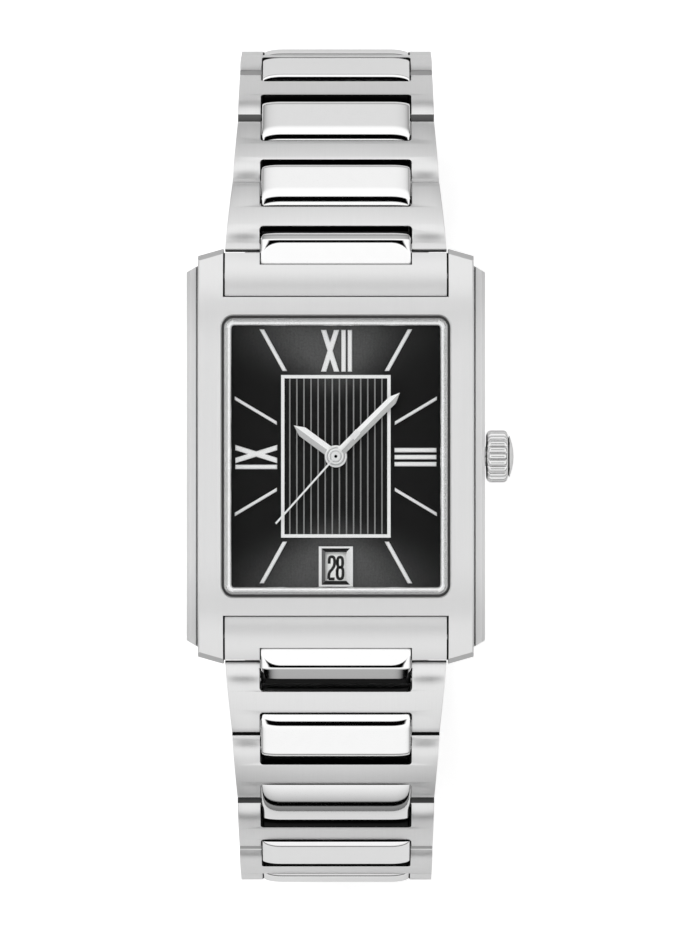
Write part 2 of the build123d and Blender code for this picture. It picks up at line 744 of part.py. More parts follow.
# Each hand is a ridged bar cut to its pointed outline, with a flat hub
hour_hand_length = 5.42
hour_hand_angle = 306.3
hour_hand_width = 1.09
hour_hub_radius = 1.16
minute_hand_length = 9.38
minute_hand_angle = 45.2
minute_hand_width = 0.96
minute_hub_radius = 0.85
hand_point = 1.1
hand_edge_share = 0.45
second_hand_length = 9.35
second_hand_angle = 221.8
needle_width = 0.2
second_hub_radius = 0.53
tail_start = 2.55
tail_end = 3.48
tail_width = 0.65
tail_stem_width = 0.14


def ridged_hand(bottom, thickness, length, angle, width, hub_radius, bore):
    """Pointed hand with a ridge along its middle, turned clockwise from twelve by angle."""
    direction = Vector(sin(radians(angle)), cos(radians(angle)), 0)
    flat = Plane(origin=(0, 0, bottom), x_dir=direction, z_dir=(0, 0, 1))
    section = Plane(origin=(0, 0, bottom), x_dir=direction.cross(Vector(0, 0, 1)), z_dir=-direction)
    edge = thickness * hand_edge_share
    with BuildPart() as hand:
        with BuildSketch(section):
            Polygon(
                (width / 2, 0), (width / 2, edge), (0, thickness), (-width / 2, edge), (-width / 2, 0),
                align=None)
        extrude(amount=-length)
        with BuildSketch(flat):
            Polygon(
                (0, width / 2), (length - hand_point, width / 2), (length, 0),
                (length - hand_point, -width / 2), (0, -width / 2), align=None)
        extrude(amount=thickness, mode=Mode.INTERSECT)
        with BuildSketch(flat):
            Circle(hub_radius)
        extrude(amount=thickness)
        with BuildSketch(flat):
            Circle(bore)
        extrude(amount=thickness, mode=Mode.SUBTRACT)
    return hand.part


hour_hand = ridged_hand(
    hour_hand_bottom, hour_hand_thickness, hour_hand_length, hour_hand_angle, hour_hand_width,
    hour_hub_radius, hour_tube_radius)
save(hour_hand, "hour_hand")
minute_hand = ridged_hand(
    minute_hand_bottom, minute_hand_thickness, minute_hand_length, minute_hand_angle, minute_hand_width,
    minute_hub_radius, cannon_radius)
save(minute_hand, "minute_hand")

second_plane = Plane(
    origin=(0, 0, second_hand_bottom),
    x_dir=(sin(radians(second_hand_angle)), cos(radians(second_hand_angle)), 0), z_dir=(0, 0, 1))
with BuildPart() as second_hand:
    with BuildSketch(second_plane):
        Circle(second_hub_radius)
        with Locations((second_hand_length / 2, 0)):
            Rectangle(second_hand_length, needle_width)
        with Locations((-tail_start / 2, 0)):
            Rectangle(tail_start, tail_stem_width)
        with Locations((-(tail_start + tail_end) / 2, 0)):
            Rectangle(tail_end - tail_start, tail_width)
        Circle(arbor_radius, mode=Mode.SUBTRACT)
    extrude(amount=second_hand_thickness)
save(second_hand.part, "second_hand")

# Crown, stem, tube, gasket and setting lever
crown_radius = 2.75
crown_gap = 0.16
crown_knurl_length = 2.27
crown_cap_height = 0.6
crown_cap_radius = 2.2
crown_dome_height = 0.45
crown_edge_bevel = 0.3
flute_count = 22
flute_radius = 0.26
flute_depth = 0.16
crown_recess_depth = 1.4
crown_recess_radius = 1.5
tube_bore_radius = 0.62
tube_inner_reach = movement_bay_width / 2
tube_stand_out = 1.05
tube_outer_reach = case_half + tube_stand_out
crown_face = case_half + crown_gap
cap_base = crown_face + crown_knurl_length
cap_top = cap_base + crown_cap_height
cap_shoulder = cap_top - crown_dome_height
dome_radius = (crown_cap_radius ** 2 + crown_dome_height ** 2) / (2 * crown_dome_height)
stem_end = 5.6
stem_groove_start = 8.0
stem_groove_width = 0.5
stem_groove_radius = 0.3
crown_gasket_width = 0.45
lever_thickness = 0.22
lever_width = 2.4
lever_length = 3.2
lever_gap = 0.12
finger_width = 0.5

with BuildPart() as crown:
    with BuildSketch(Plane.YZ.offset(crown_face)):
        with Locations((0, crown_height)):
            Circle(crown_radius)
    extrude(amount=crown_knurl_length)
    chamfer(crown.edges().filter_by(GeomType.CIRCLE), crown_edge_bevel)
    with BuildSketch(Plane.YZ.offset(crown_face)):
        with Locations((0, crown_height)):
            with PolarLocations(crown_radius + flute_radius - flute_depth, flute_count):
                Circle(flute_radius)
    extrude(amount=crown_knurl_length, mode=Mode.SUBTRACT)
    with BuildSketch(Plane.XZ):
        with BuildLine():
            Polyline(
                (cap_top, crown_height), (cap_base, crown_height),
                (cap_base, crown_height + crown_cap_radius), (cap_shoulder, crown_height + crown_cap_radius))
            RadiusArc((cap_shoulder, crown_height + crown_cap_radius), (cap_top, crown_height), dome_radius)
        make_face()
    revolve(axis=Axis((0, 0, crown_height), (1, 0, 0)))
    with BuildSketch(Plane.YZ.offset(crown_face)):
        with Locations((0, crown_height)):
            Circle(crown_recess_radius)
    extrude(amount=crown_recess_depth, mode=Mode.SUBTRACT)
save(crown.part, "crown")

with BuildPart() as crown_stem:
    with BuildSketch(Plane.YZ.offset(stem_end)):
        with Locations((0, crown_height)):
            Circle(stem_radius)
    extrude(amount=crown_face + crown_recess_depth - stem_end)
    with BuildSketch(Plane.YZ.offset(stem_groove_start)):
        with Locations((0, crown_height)):
            Circle(stem_radius + overrun)
            Circle(stem_groove_radius, mode=Mode.SUBTRACT)
    extrude(amount=stem_groove_width, mode=Mode.SUBTRACT)
save(crown_stem.part, "crown_stem")

with BuildPart() as crown_tube:
    with BuildSketch(Plane.YZ.offset(tube_inner_reach)):
        with Locations((0, crown_height)):
            Circle(crown_tube_radius)
            Circle(tube_bore_radius, mode=Mode.SUBTRACT)
    extrude(amount=tube_outer_reach - tube_inner_reach)
save(crown_tube.part, "crown_tube")

with BuildPart() as crown_gasket:
    with BuildSketch(Plane.YZ.offset(crown_face + crown_gap)):
        with Locations((0, crown_height)):
            Circle(crown_recess_radius)
            Circle(crown_tube_radius + seat_clearance, mode=Mode.SUBTRACT)
    extrude(amount=crown_gasket_width)
save(crown_gasket.part, "crown_gasket")

lever_middle = stem_groove_start + stem_groove_width / 2
with BuildPart() as setting_lever:
    with BuildSketch(level(plate_bottom_z - lever_gap)):
        with Locations((lever_middle, lever_width / 2 - finger_width)):
            Rectangle(lever_length, lever_width)
    extrude(amount=-lever_thickness)
    with BuildSketch(level(plate_bottom_z - lever_gap)):
        with Locations((lever_middle, 0)):
            Rectangle(stem_groove_width - 2 * fit_clearance, finger_width)
    extrude(amount=crown_height - stem_groove_radius - fit_clearance - plate_bottom_z + lever_gap)
save(setting_lever.part, "setting_lever")

# Bracelet: every link is a frame with a pin at its near end and a bar fixed in its far half
far_face = link_pitch - near_reach - link_gap
crossbar_start = 1.45
crossbar_width = 2.0
crossbar_end = crossbar_start + crossbar_width
bar_seat_gap = 0.05
bar_start = crossbar_end + bar_seat_gap
bar_overhang = 0.85
bar_end = link_pitch + bar_overhang
bar_pin_place = 4.7
bar_edge_bevel = 0.4
bar_edge_drop = 0.55
bar_shoulder = bar_rise - bar_edge_drop / 3
arc_middle = sin(radians(45))
pin_recess = 0.25


def chain_planes(pin_y, pin_z, tilt, side):
    """Side plane (along, outward) and plan plane of a link hinged at a pin."""
    along = Vector(0, side * cos(radians(tilt)), -sin(radians(tilt)))
    outward = Vector(0, side * sin(radians(tilt)), cos(radians(tilt)))
    origin = Vector(0, pin_y, pin_z)
    return (
        Plane(origin=origin, x_dir=along, z_dir=Vector(side, 0, 0)),
        Plane(origin=origin, x_dir=along, z_dir=outward),
    )


def link_frame(side_plane, plan_plane, near_width, far_width):
    """Brushed H-shaped frame with its pin holes."""
    middle = (far_face - near_reach) / 2
    with BuildPart() as frame:
        with BuildSketch(side_plane):
            with BuildLine():
                Polyline((-near_reach, 0), (-near_reach, link_end_rise))
                ThreePointArc((-near_reach, link_end_rise), (middle, link_rise), (far_face, link_end_rise))
                Polyline((far_face, link_end_rise), (far_face, -link_depth), (0, -link_depth))
                RadiusArc((0, -link_depth), (-near_reach, 0), near_reach)
            make_face()
        extrude(amount=near_width / 2, both=True)
        with BuildSketch(plan_plane):
            Polygon(
                (-near_reach, near_width / 2), (far_face, far_width / 2),
                (far_face, -far_width / 2), (-near_reach, -near_width / 2), align=None)
        extrude(amount=link_pitch, both=True, mode=Mode.INTERSECT)
        with BuildSketch(plan_plane):
            with Locations(((crossbar_start - near_reach - overrun) / 2, 0)):
                Rectangle(crossbar_start + near_reach + overrun, pocket_width)
            with Locations(((crossbar_end + far_face + overrun) / 2, 0)):
                Rectangle(far_face + overrun - crossbar_end, pocket_width)
        extrude(amount=link_pitch, both=True, mode=Mode.SUBTRACT)
        with BuildSketch(side_plane):
            Circle(hinge_pin_radius + seat_clearance)
            with Locations((bar_pin_place, 0)):
                Circle(bar_pin_radius + seat_clearance)
        extrude(amount=near_width, both=True, mode=Mode.SUBTRACT)
    return frame.part


def link_bar(side_plane, start, end, hinge_place, pin_place):
    """Polished domed bar; its far end is drilled for the next link's hinge pin."""
    low = end - hinge_place
    with BuildPart() as bar:
        with BuildSketch(side_plane):
            with BuildLine():
                Polyline(
                    (hinge_place, -bar_depth), (start, -bar_depth), (start, bar_rise - bar_edge_drop),
                    (start + bar_edge_bevel, bar_shoulder))
                ThreePointArc(
                    (start + bar_edge_bevel, bar_shoulder), ((start + end) / 2, bar_rise),
                    (end - bar_edge_bevel, bar_shoulder))
                Polyline((end - bar_edge_bevel, bar_shoulder), (end, bar_rise - bar_edge_drop), (end, 0))
                ThreePointArc(
                    (end, 0), (hinge_place + low * arc_middle, -bar_depth * arc_middle),
                    (hinge_place, -bar_depth))
            make_face()
        extrude(amount=bar_width / 2, both=True)
        with BuildSketch(side_plane):
            with Locations((hinge_place, 0)):
                Circle(hinge_pin_radius + hinge_clearance)
            if pin_place is not None:
                with Locations((pin_place, 0)):
                    Circle(bar_pin_radius + seat_clearance)
        extrude(amount=bar_width, both=True, mode=Mode.SUBTRACT)
    return bar.part


def link_pins(side_plane, near_width, far_width):
    """The link's own hinge pin and the pin that fixes its bar."""
    with BuildPart() as pins:
        with BuildSketch(side_plane):
            Circle(hinge_pin_radius)
        extrude(amount=near_width / 2 - pin_recess, both=True)
        with BuildSketch(side_plane):
            with Locations((bar_pin_place, 0)):
                Circle(bar_pin_radius)
        extrude(amount=far_width / 2 - pin_recess, both=True)
    return pins.part


chain_ends = {}
for chain_name, side, tilts in (("12", 1, tilts_12), ("6", -1, tilts_6)):
    pin_y = side * first_pin_reach
    pin_z = first_pin_height
    for index, tilt in enumerate(tilts):
        side_plane, plan_plane = chain_planes(pin_y, pin_z, tilt, side)
        near_width = side_widths[index]
        far_width = side_widths[index + 1]
        with BuildPart() as link:
            add(link_frame(side_plane, plan_plane, near_width, far_width))
            add(link_bar(side_plane, bar_start, bar_end, link_pitch, bar_pin_place))
            add(link_pins(side_plane, near_width, far_width))
        save(link.part, f"link_{chain_name}_{index + 1}")
        pin_y += side * link_pitch * cos(radians(tilt))
        pin_z -= link_pitch * sin(radians(tilt))
    chain_ends[chain_name] = (pin_y, pin_z)

# End links that fill the case's notches, their bars and the spring bars
end_link_top = 7.45
end_link_crown = 7.75
end_link_bottom = 3.9
end_link_start = floor_reach + end_gap
end_link_end = first_pin_reach - near_reach - link_gap
end_bar_lap = end_bar_lap_share * end_link_length
end_bar_start = end_link_end - end_bar_lap
spring_body_radius = 0.75
spring_tip_gap = 0.1

for chain_name, side in (("12", 1), ("6", -1)):
    side_plane, plan_plane = chain_planes(0, 0, 0, side)
    with BuildPart() as end_link:
        with BuildSketch(side_plane):
            with BuildLine():
                Polyline(
                    (end_link_start, end_link_top), (end_link_start, end_link_bottom),
                    (end_link_end, end_link_bottom),
                    (end_link_end, first_pin_height + link_end_rise))
                ThreePointArc(
                    (end_link_end, first_pin_height + link_end_rise),
                    ((end_link_end + end_link_start) / 2, end_link_top),
                    (end_link_start, end_link_top))
            make_face()
        extrude(amount=side_widths[0] / 2, both=True)
        with BuildSketch(plan_plane):
            with Locations((end_link_end, 0)):
                Rectangle(2 * (end_link_end - end_bar_start + fit_clearance), pocket_width)
        extrude(amount=plate_top, mode=Mode.SUBTRACT)
        with BuildSketch(side_plane):
            with Locations((spring_bar_reach, spring_bar_height)):
                Circle(spring_body_radius + seat_clearance)
        extrude(amount=case_width, both=True, mode=Mode.SUBTRACT)
    save(end_link.part, f"end_link_{chain_name}")

with BuildPart() as end_bars:
    for side in (1, -1):
        side_plane = chain_planes(side * first_pin_reach, first_pin_height, 0, side)[0]
        add(link_bar(side_plane, end_bar_start - first_pin_reach, bar_overhang, 0, None))
save(end_bars.part, "end_bars")

with BuildPart() as spring_bars:
    for side in (1, -1):
        side_plane = chain_planes(0, 0, 0, side)[0]
        with BuildSketch(side_plane):
            with Locations((spring_bar_reach, spring_bar_height)):
                Circle(spring_body_radius)
        extrude(amount=side_widths[0] / 2 - spring_tip_gap, both=True)
        with BuildSketch(side_plane):
            with Locations((spring_bar_reach, spring_bar_height)):
                Circle(spring_tip_radius)
        extrude(amount=notch_half + spring_tip_length - spring_tip_gap, both=True)
save(spring_bars.part, "spring_bars")

# Folding clasp: it joins both chain ends, so its length follows from where they lie
clasp_y, clasp_z = chain_ends["12"]
far_pivot_y, far_pivot_z = chain_ends["6"]
clasp_length = hypot(far_pivot_y - clasp_y, far_pivot_z - clasp_z)
clasp_tilt = degrees(atan2(clasp_z - far_pivot_z, far_pivot_y - clasp_y))
clasp_side, clasp_plan = chain_planes(clasp_y, clasp_z, clasp_tilt, 1)
print("clasp length", round(clasp_length, 3), "tilt", round(clasp_tilt, 3))
clasp_width = side_widths[-1]
cover_rise = 1.7
cover_thickness = 1.05
cover_end_bevel = 0.5
cover_flat_start = 2.6
channel_half = 8.1
cover_hinge_setback = 4.6
cover_hinge_place = clasp_length - cover_hinge_setback
cover_plate_lap = 0.5
cover_wall_lap = 0.95
cover_end = cover_hinge_place + cover_wall_lap
blade_pin_radius = 0.35
cover_knuckle_radius = 0.6
blade_half_width = 7.9
middle_blade_low = -0.6
middle_blade_high = 0.3
inner_blade_low = -1.7
inner_blade_high = -0.72
fold_place = 5.6
fold_height = -0.68
fold_knuckle_radius = 0.85
fold_tongue_half = 4.5
fold_plate_offset = 1.0
fold_plate_start = fold_place + fold_plate_offset
side_gap = 0.1
web_width = 1.2
web_end = clasp_length - crossbar_start
lug_radius = 1.2
lug_half_width = clasp_width / 2 - side_gap
button_place = 10.0
button_length = 3.0
button_height = 1.0
button_level = -0.4
button_inner = 8.7
button_outer = 10.8
button_clearance = 0.06

with BuildPart() as clasp_cover:
    with BuildSketch(clasp_side):
        with BuildLine():
            Polyline(
                (-near_reach, 0), (-near_reach, link_end_rise), (cover_flat_start, cover_rise),
                (cover_end - cover_end_bevel, cover_rise), (cover_end, cover_rise - cover_end_bevel),
                (cover_end, -link_depth), (0, -link_depth))
            RadiusArc((0, -link_depth), (-near_reach, 0), near_reach)
        make_face()
    extrude(amount=clasp_width / 2, both=True)
    with BuildSketch(clasp_plan):
        with Locations(((crossbar_start - near_reach - overrun) / 2, 0)):
            Rectangle(crossbar_start + near_reach + overrun, pocket_width)
        with Locations((cover_hinge_place + cover_plate_lap + overrun, 0)):
            Rectangle(2 * overrun, 2 * channel_half)
    extrude(amount=link_pitch, both=True, mode=Mode.SUBTRACT)
    with BuildSketch(clasp_plan.offset(cover_rise - cover_thickness)):
        with Locations(((crossbar_end + cover_end + overrun) / 2, 0)):
            Rectangle(cover_end + overrun - crossbar_end, 2 * channel_half)
    extrude(amount=-link_pitch, mode=Mode.SUBTRACT)
    with BuildSketch(clasp_side):
        Circle(hinge_pin_radius + seat_clearance)
        with Locations((cover_hinge_place, 0)):
            Circle(blade_pin_radius + seat_clearance)
        with Locations((button_place, button_level)):
            Rectangle(button_length + 2 * button_clearance, button_height + 2 * button_clearance)
    extrude(amount=clasp_width, both=True, mode=Mode.SUBTRACT)
save(clasp_cover.part, "clasp_cover")

with BuildPart() as clasp_cover_pins:
    with BuildSketch(clasp_side):
        Circle(hinge_pin_radius)
        with Locations((cover_hinge_place, 0)):
            Circle(blade_pin_radius)
    extrude(amount=clasp_width / 2 - pin_recess, both=True)
save(clasp_cover_pins.part, "clasp_cover_pins")

with BuildPart() as clasp_blade_middle:
    with BuildSketch(clasp_side):
        Polygon(
            (fold_plate_start, middle_blade_low), (fold_plate_start, middle_blade_high),
            (cover_hinge_place, middle_blade_high), (cover_hinge_place, middle_blade_low), align=None)
        with Locations((cover_hinge_place, 0)):
            Circle(cover_knuckle_radius)
    extrude(amount=blade_half_width, both=True)
    with BuildSketch(clasp_side):
        Polygon(
            (fold_place, fold_height), (fold_place, middle_blade_high),
            (fold_plate_start, middle_blade_high), (fold_plate_start, middle_blade_low), align=None)
        with Locations((fold_place, fold_height)):
            Circle(fold_knuckle_radius)
    extrude(amount=fold_tongue_half, both=True)
    with BuildSketch(clasp_side):
        with Locations((cover_hinge_place, 0)):
            Circle(blade_pin_radius + hinge_clearance)
        with Locations((fold_place, fold_height)):
            Circle(blade_pin_radius + seat_clearance)
    extrude(amount=clasp_width, both=True, mode=Mode.SUBTRACT)
save(clasp_blade_middle.part, "clasp_blade_middle")

with BuildPart() as clasp_blade_pin:
    with BuildSketch(clasp_side):
        with Locations((fold_place, fold_height)):
            Circle(blade_pin_radius)
    extrude(amount=blade_half_width - side_gap, both=True)
save(clasp_blade_pin.part, "clasp_blade_pin")

with BuildPart() as clasp_blade_inner:
    with BuildSketch(clasp_side):
        Polygon(
            (fold_plate_start, inner_blade_low), (fold_plate_start, inner_blade_high),
            (web_end, inner_blade_high), (web_end, inner_blade_low), align=None)
    extrude(amount=blade_half_width, both=True)
    with BuildSketch(clasp_side):
        Polygon(
            (fold_place, inner_blade_low), (fold_place, fold_height),
            (fold_plate_start, inner_blade_high), (fold_plate_start, inner_blade_low), align=None)
        with Locations((fold_place, fold_height)):
            Circle(fold_knuckle_radius)
    extrude(amount=blade_half_width, both=True)
    with BuildSketch(clasp_plan):
        with Locations((fold_place, 0)):
            Rectangle(2 * fold_plate_offset, 2 * (fold_tongue_half + side_gap))
    extrude(amount=link_pitch, both=True, mode=Mode.SUBTRACT)
    with BuildSketch(clasp_side):
        Polygon(
            (web_end - web_width, inner_blade_low), (web_end - web_width, lug_radius),
            (web_end, lug_radius), (web_end, inner_blade_low), align=None)
    extrude(amount=lug_half_width, both=True)
    with BuildSketch(clasp_side):
        Polygon(
            (web_end, -lug_radius), (web_end, lug_radius),
            (clasp_length, lug_radius), (clasp_length, -lug_radius), align=None)
        with Locations((clasp_length, 0)):
            Circle(lug_radius)
    extrude(amount=lug_half_width, both=True)
    with BuildSketch(clasp_plan):
        with Locations((web_end + link_pitch / 2, 0)):
            Rectangle(link_pitch, pocket_width)
    extrude(amount=link_pitch, both=True, mode=Mode.SUBTRACT)
    with BuildSketch(clasp_side):
        with Locations((clasp_length, 0)):
            Circle(hinge_pin_radius + hinge_clearance)
        with Locations((fold_place, fold_height)):
            Circle(blade_pin_radius + hinge_clearance)
    extrude(amount=clasp_width, both=True, mode=Mode.SUBTRACT)
save(clasp_blade_inner.part, "clasp_blade_inner")

for button_name, sign in (("right", 1), ("left", -1)):
    with BuildPart() as clasp_button:
        with BuildSketch(clasp_side.offset(sign * button_inner)):
            with Locations((button_place, button_level)):
                Rectangle(button_length, button_height)
        extrude(amount=sign * (button_outer - button_inner))
        chamfer(clasp_button.faces().sort_by(Axis.X)[-1 if sign > 0 else 0].edges(), button_clearance)
    save(clasp_button.part, f"clasp_button_{button_name}")
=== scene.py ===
# %% [markdown]
# # A rectangular steel wristwatch
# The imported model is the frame: it gives every part's place and every joint.
# We load it first and keep its box, because nothing that we add may stick out of it.

# %% Load the frame
import json
import math
import bmesh
import bpy
from mathutils import Matrix, Vector


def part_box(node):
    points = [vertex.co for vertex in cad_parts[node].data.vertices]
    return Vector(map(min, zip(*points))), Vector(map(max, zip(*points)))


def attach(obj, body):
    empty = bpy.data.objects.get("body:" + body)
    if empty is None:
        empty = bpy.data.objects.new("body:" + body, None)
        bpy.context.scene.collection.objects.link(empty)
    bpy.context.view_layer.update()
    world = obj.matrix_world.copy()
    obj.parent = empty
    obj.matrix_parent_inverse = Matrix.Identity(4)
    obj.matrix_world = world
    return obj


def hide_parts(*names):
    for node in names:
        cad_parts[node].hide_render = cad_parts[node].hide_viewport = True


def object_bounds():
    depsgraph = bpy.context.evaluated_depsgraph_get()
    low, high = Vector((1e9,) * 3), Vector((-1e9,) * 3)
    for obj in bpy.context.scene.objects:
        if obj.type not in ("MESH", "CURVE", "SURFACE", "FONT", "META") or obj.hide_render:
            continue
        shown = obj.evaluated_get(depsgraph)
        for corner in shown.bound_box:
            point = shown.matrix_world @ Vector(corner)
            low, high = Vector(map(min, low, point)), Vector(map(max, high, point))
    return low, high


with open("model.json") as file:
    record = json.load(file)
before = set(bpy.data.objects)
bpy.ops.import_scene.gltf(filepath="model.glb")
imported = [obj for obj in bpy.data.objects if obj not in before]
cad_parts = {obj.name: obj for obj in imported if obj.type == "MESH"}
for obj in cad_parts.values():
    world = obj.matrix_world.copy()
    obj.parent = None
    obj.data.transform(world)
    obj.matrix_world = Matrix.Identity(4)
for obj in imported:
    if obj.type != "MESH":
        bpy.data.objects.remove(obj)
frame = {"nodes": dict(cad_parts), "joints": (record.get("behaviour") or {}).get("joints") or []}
cad_box = [list(corner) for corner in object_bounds()]
nodes = frame["nodes"]
joints = {joint["name"]: joint for joint in frame["joints"]}
print("nodes:", len(nodes), "joints:", len(joints))

# %% [markdown]
# Blender counts in metres and a watchmaker in millimetres.
# One named factor keeps the sizes below readable.

# %% Millimetres
MM = 0.001


def mm(*values):
    """A vector given in millimetres."""
    return Vector([value * MM for value in values])


print("the case is", round((cad_box[1][0] - cad_box[0][0]) / MM, 2), "mm wide with its crown")


# %% [markdown]
# A finish is a small tree of shader nodes.
# Written node by node it is long, so a wire (one output of a node) learns Python's own
# operators: `a * 0.5 + b` then adds the Math nodes that work it out. The reflected forms are
# there too, so that `1 - mask` works.

# %% Shader maths as Python expressions
class Wire:
    """One output socket that can be used in arithmetic."""

    def __init__(self, finish, socket):
        self.finish = finish
        self.socket = socket

    def __add__(self, other):
        return self.finish.maths("ADD", self, other)

    __radd__ = __add__

    def __sub__(self, other):
        return self.finish.maths("SUBTRACT", self, other)

    def __rsub__(self, other):
        return self.finish.maths("SUBTRACT", other, self)

    def __mul__(self, other):
        return self.finish.maths("MULTIPLY", self, other)

    __rmul__ = __mul__

    def __truediv__(self, other):
        return self.finish.maths("DIVIDE", self, other)

    def __rtruediv__(self, other):
        return self.finish.maths("DIVIDE", other, self)

    def __abs__(self):
        return self.finish.maths("ABSOLUTE", self)


# %% [markdown]
# Every other node comes from one method. It sets the node's own settings first, because
# some of them change which sockets there are, and then fills the sockets by name or number.

# %% One method for every other node
class Finish:
    """A node tree of a material or of the world."""

    def __init__(self, name, owner=None):
        self.owner = owner or bpy.data.materials.new(name)
        self.owner.use_nodes = True
        self.tree = self.owner.node_tree
        self.tree.nodes.clear()

    def node(self, kind, out=0, inputs=None, **settings):
        """Adds a node: its settings first, then the values or links of its sockets."""
        made = self.tree.nodes.new(kind)
        for name, value in settings.items():
            setattr(made, name, value)
        for name, value in (inputs or {}).items():
            if isinstance(value, Wire):
                self.tree.links.new(value.socket, made.inputs[name])
            else:
                made.inputs[name].default_value = value
        return Wire(self, made.outputs[out]) if made.outputs else made

    def maths(self, operation, *values):
        return self.node("ShaderNodeMath", operation=operation, inputs=dict(enumerate(values)))

    def mix(self, factor, first, second):
        """Blends two colours."""
        return self.node(
            "ShaderNodeMix", out=2, data_type="RGBA", inputs={0: factor, 6: first, 7: second})

    def step(self, value, low, high):
        """Runs smoothly from 0 at low to 1 at high."""
        return self.node(
            "ShaderNodeMapRange", interpolation_type="SMOOTHSTEP",
            inputs={"Value": value, "From Min": low, "From Max": high})

    def place(self):
        """The surface point in the object's own metres."""
        return self.node("ShaderNodeTexCoord", out="Object")

    def parts(self, vector):
        """A vector's x, y and z as three numbers."""
        split = self.node("ShaderNodeSeparateXYZ", inputs={0: vector}).socket.node
        return [Wire(self, socket) for socket in split.outputs]

    def axes(self):
        """The surface point as three numbers."""
        return self.parts(self.place())

    def facing(self):
        """The surface's own direction as three numbers; it turns with the piece."""
        return self.parts(self.node("ShaderNodeTexCoord", out="Normal"))

    def grain(self, scale, detail=2.0, lines=(1, 1, 1)):
        """Noise with a scale per metre along each axis; 0 is dark and 1 light."""
        spread = self.node(
            "ShaderNodeMapping", vector_type="POINT",
            inputs={"Vector": self.place(), "Scale": [scale * line for line in lines]})
        return self.node(
            "ShaderNodeTexNoise", inputs={"Vector": spread, "Scale": 1.0, "Detail": detail})

    def open_share(self, reach=0.5 * MM):
        """1 on an open surface and 0 deep in a narrow gap."""
        seen = self.node(
            "ShaderNodeAmbientOcclusion", out="AO", samples=6, inputs={"Distance": reach})
        return self.step(seen, 0.12, 0.62)

    def lit_share(self):
        """The open share, and 0 on faces that the gap attribute marks; 0 means painted shade."""
        slot = self.node("ShaderNodeAttribute", out="Fac", attribute_name="gap")
        return self.open_share() * (1 - slot)

    def bump(self, height, depth):
        return self.node(
            "ShaderNodeBump", inputs={"Height": height, "Strength": 1.0, "Distance": depth})

    def surface(self, **inputs):
        """Ends the tree in one Principled shader; underscores stand for spaces."""
        named = {name.replace("_", " "): value for name, value in inputs.items()}
        shader = self.node("ShaderNodeBsdfPrincipled", inputs=named)
        return self.finish(shader)

    def finish(self, shader):
        self.node("ShaderNodeOutputMaterial", inputs={"Surface": shader})
        return self.owner


def grey(value, warmth=0.0):
    """A neutral colour, a little warmer or cooler."""
    return (value * (1 + warmth), value, value * (1 - warmth), 1)


# %% [markdown]
# Brushed steel is a field of fine parallel scratches. Here they run along the bracelet, so
# the noise changes quickly across x and slowly in y and z. Because it is slow in both, the
# same recipe suits a link at any tilt. The scratches change roughness, colour and bump.
# Both steels get painted shade: their colour turns near black where little light gets in, and on
# the slot walls and other faces that a face attribute named gap marks. The case is set a little
# less metallic, so that it stays pale where the room is dim, and gets painted shade that greys
# it towards both ends and on its steep end faces.

# %% Brushed and polished steel
# Near-black colour painted as shade in narrow gaps and slots.
PAINTED_SHADE_BLACK = grey(0.012)
SCRATCH_DEPTH = 0.0000007
ALONG = (1, 0.02, 0.02)


def brushed_steel(name, colour, rough, cross=ALONG, painted_end_shade=0, metal=1.0):
    """Fine scratches and painted shade; a painted end shade greys steep end faces and, a little,
    the case's ends.
    """
    made = Finish(name)
    fine = made.grain(26000, detail=3.0, lines=cross)
    broad = made.grain(3100, detail=5.0, lines=cross)
    streak = fine * 0.65 + broad * 0.35
    tint = made.mix(streak, grey(colour * 0.94), grey(min(colour * 1.05, 1)))
    # Painted shade: steep end faces, and a little the case's far ends, turn greyer.
    if painted_end_shade:
        steep = made.step(abs(made.facing()[1]), 0.35, 0.6)
        away = made.step(abs(made.axes()[1]), 10 * MM, 20 * MM)
        shade = made.maths("MAXIMUM", steep, away * 0.45)
        tint = made.mix(shade, tint, grey(colour * (1 - painted_end_shade)))
    # Painted shade: the colour turns near black in narrow gaps and on marked faces.
    return made.surface(
        Base_Color=made.mix(made.lit_share(), PAINTED_SHADE_BLACK, tint), Metallic=metal,
        Roughness=streak * 0.1 + (rough - 0.05), Normal=made.bump(streak, SCRATCH_DEPTH))


def polished_steel(name, colour, rough):
    """A faint haze, a few hairlines and painted shade in gaps."""
    made = Finish(name)
    haze = made.grain(900, detail=4.0)
    scratches = made.grain(9000, lines=(0.15, 1, 1))
    tint = made.mix(haze, grey(colour * 0.97), grey(colour))
    # Painted shade: the colour turns near black in narrow gaps and on marked faces.
    return made.surface(
        Base_Color=made.mix(made.lit_share(), PAINTED_SHADE_BLACK, tint), Metallic=1.0,
        Roughness=haze * 0.03 + scratches * 0.02 + (rough - 0.02))


case_steel = brushed_steel("case_steel", 0.98, 0.42, painted_end_shade=0.42, metal=0.8)
link_steel = brushed_steel("link_steel", 0.80, 0.36)
mirror_steel = polished_steel("mirror_steel", 0.92, 0.045)
pin_steel = polished_steel("pin_steel", 0.72, 0.16)
crown_steel = polished_steel("crown_steel", 0.82, 0.10)
blade_steel = brushed_steel("blade_steel", 0.74, 0.26)
print("steel finishes:", len(bpy.data.materials))

# %% [markdown]
# The dial is black lacquer over vertical graining. Such graining sends light back above and
# below the middle and stays dark to the sides; here that sheen is painted into the colour as a
# soft fan about the hands' axis. The raised lines of the centre field are told apart by their
# height and get a painted highlight, a lighter grey.

# %% Dial
DIAL_TOP = 5.8


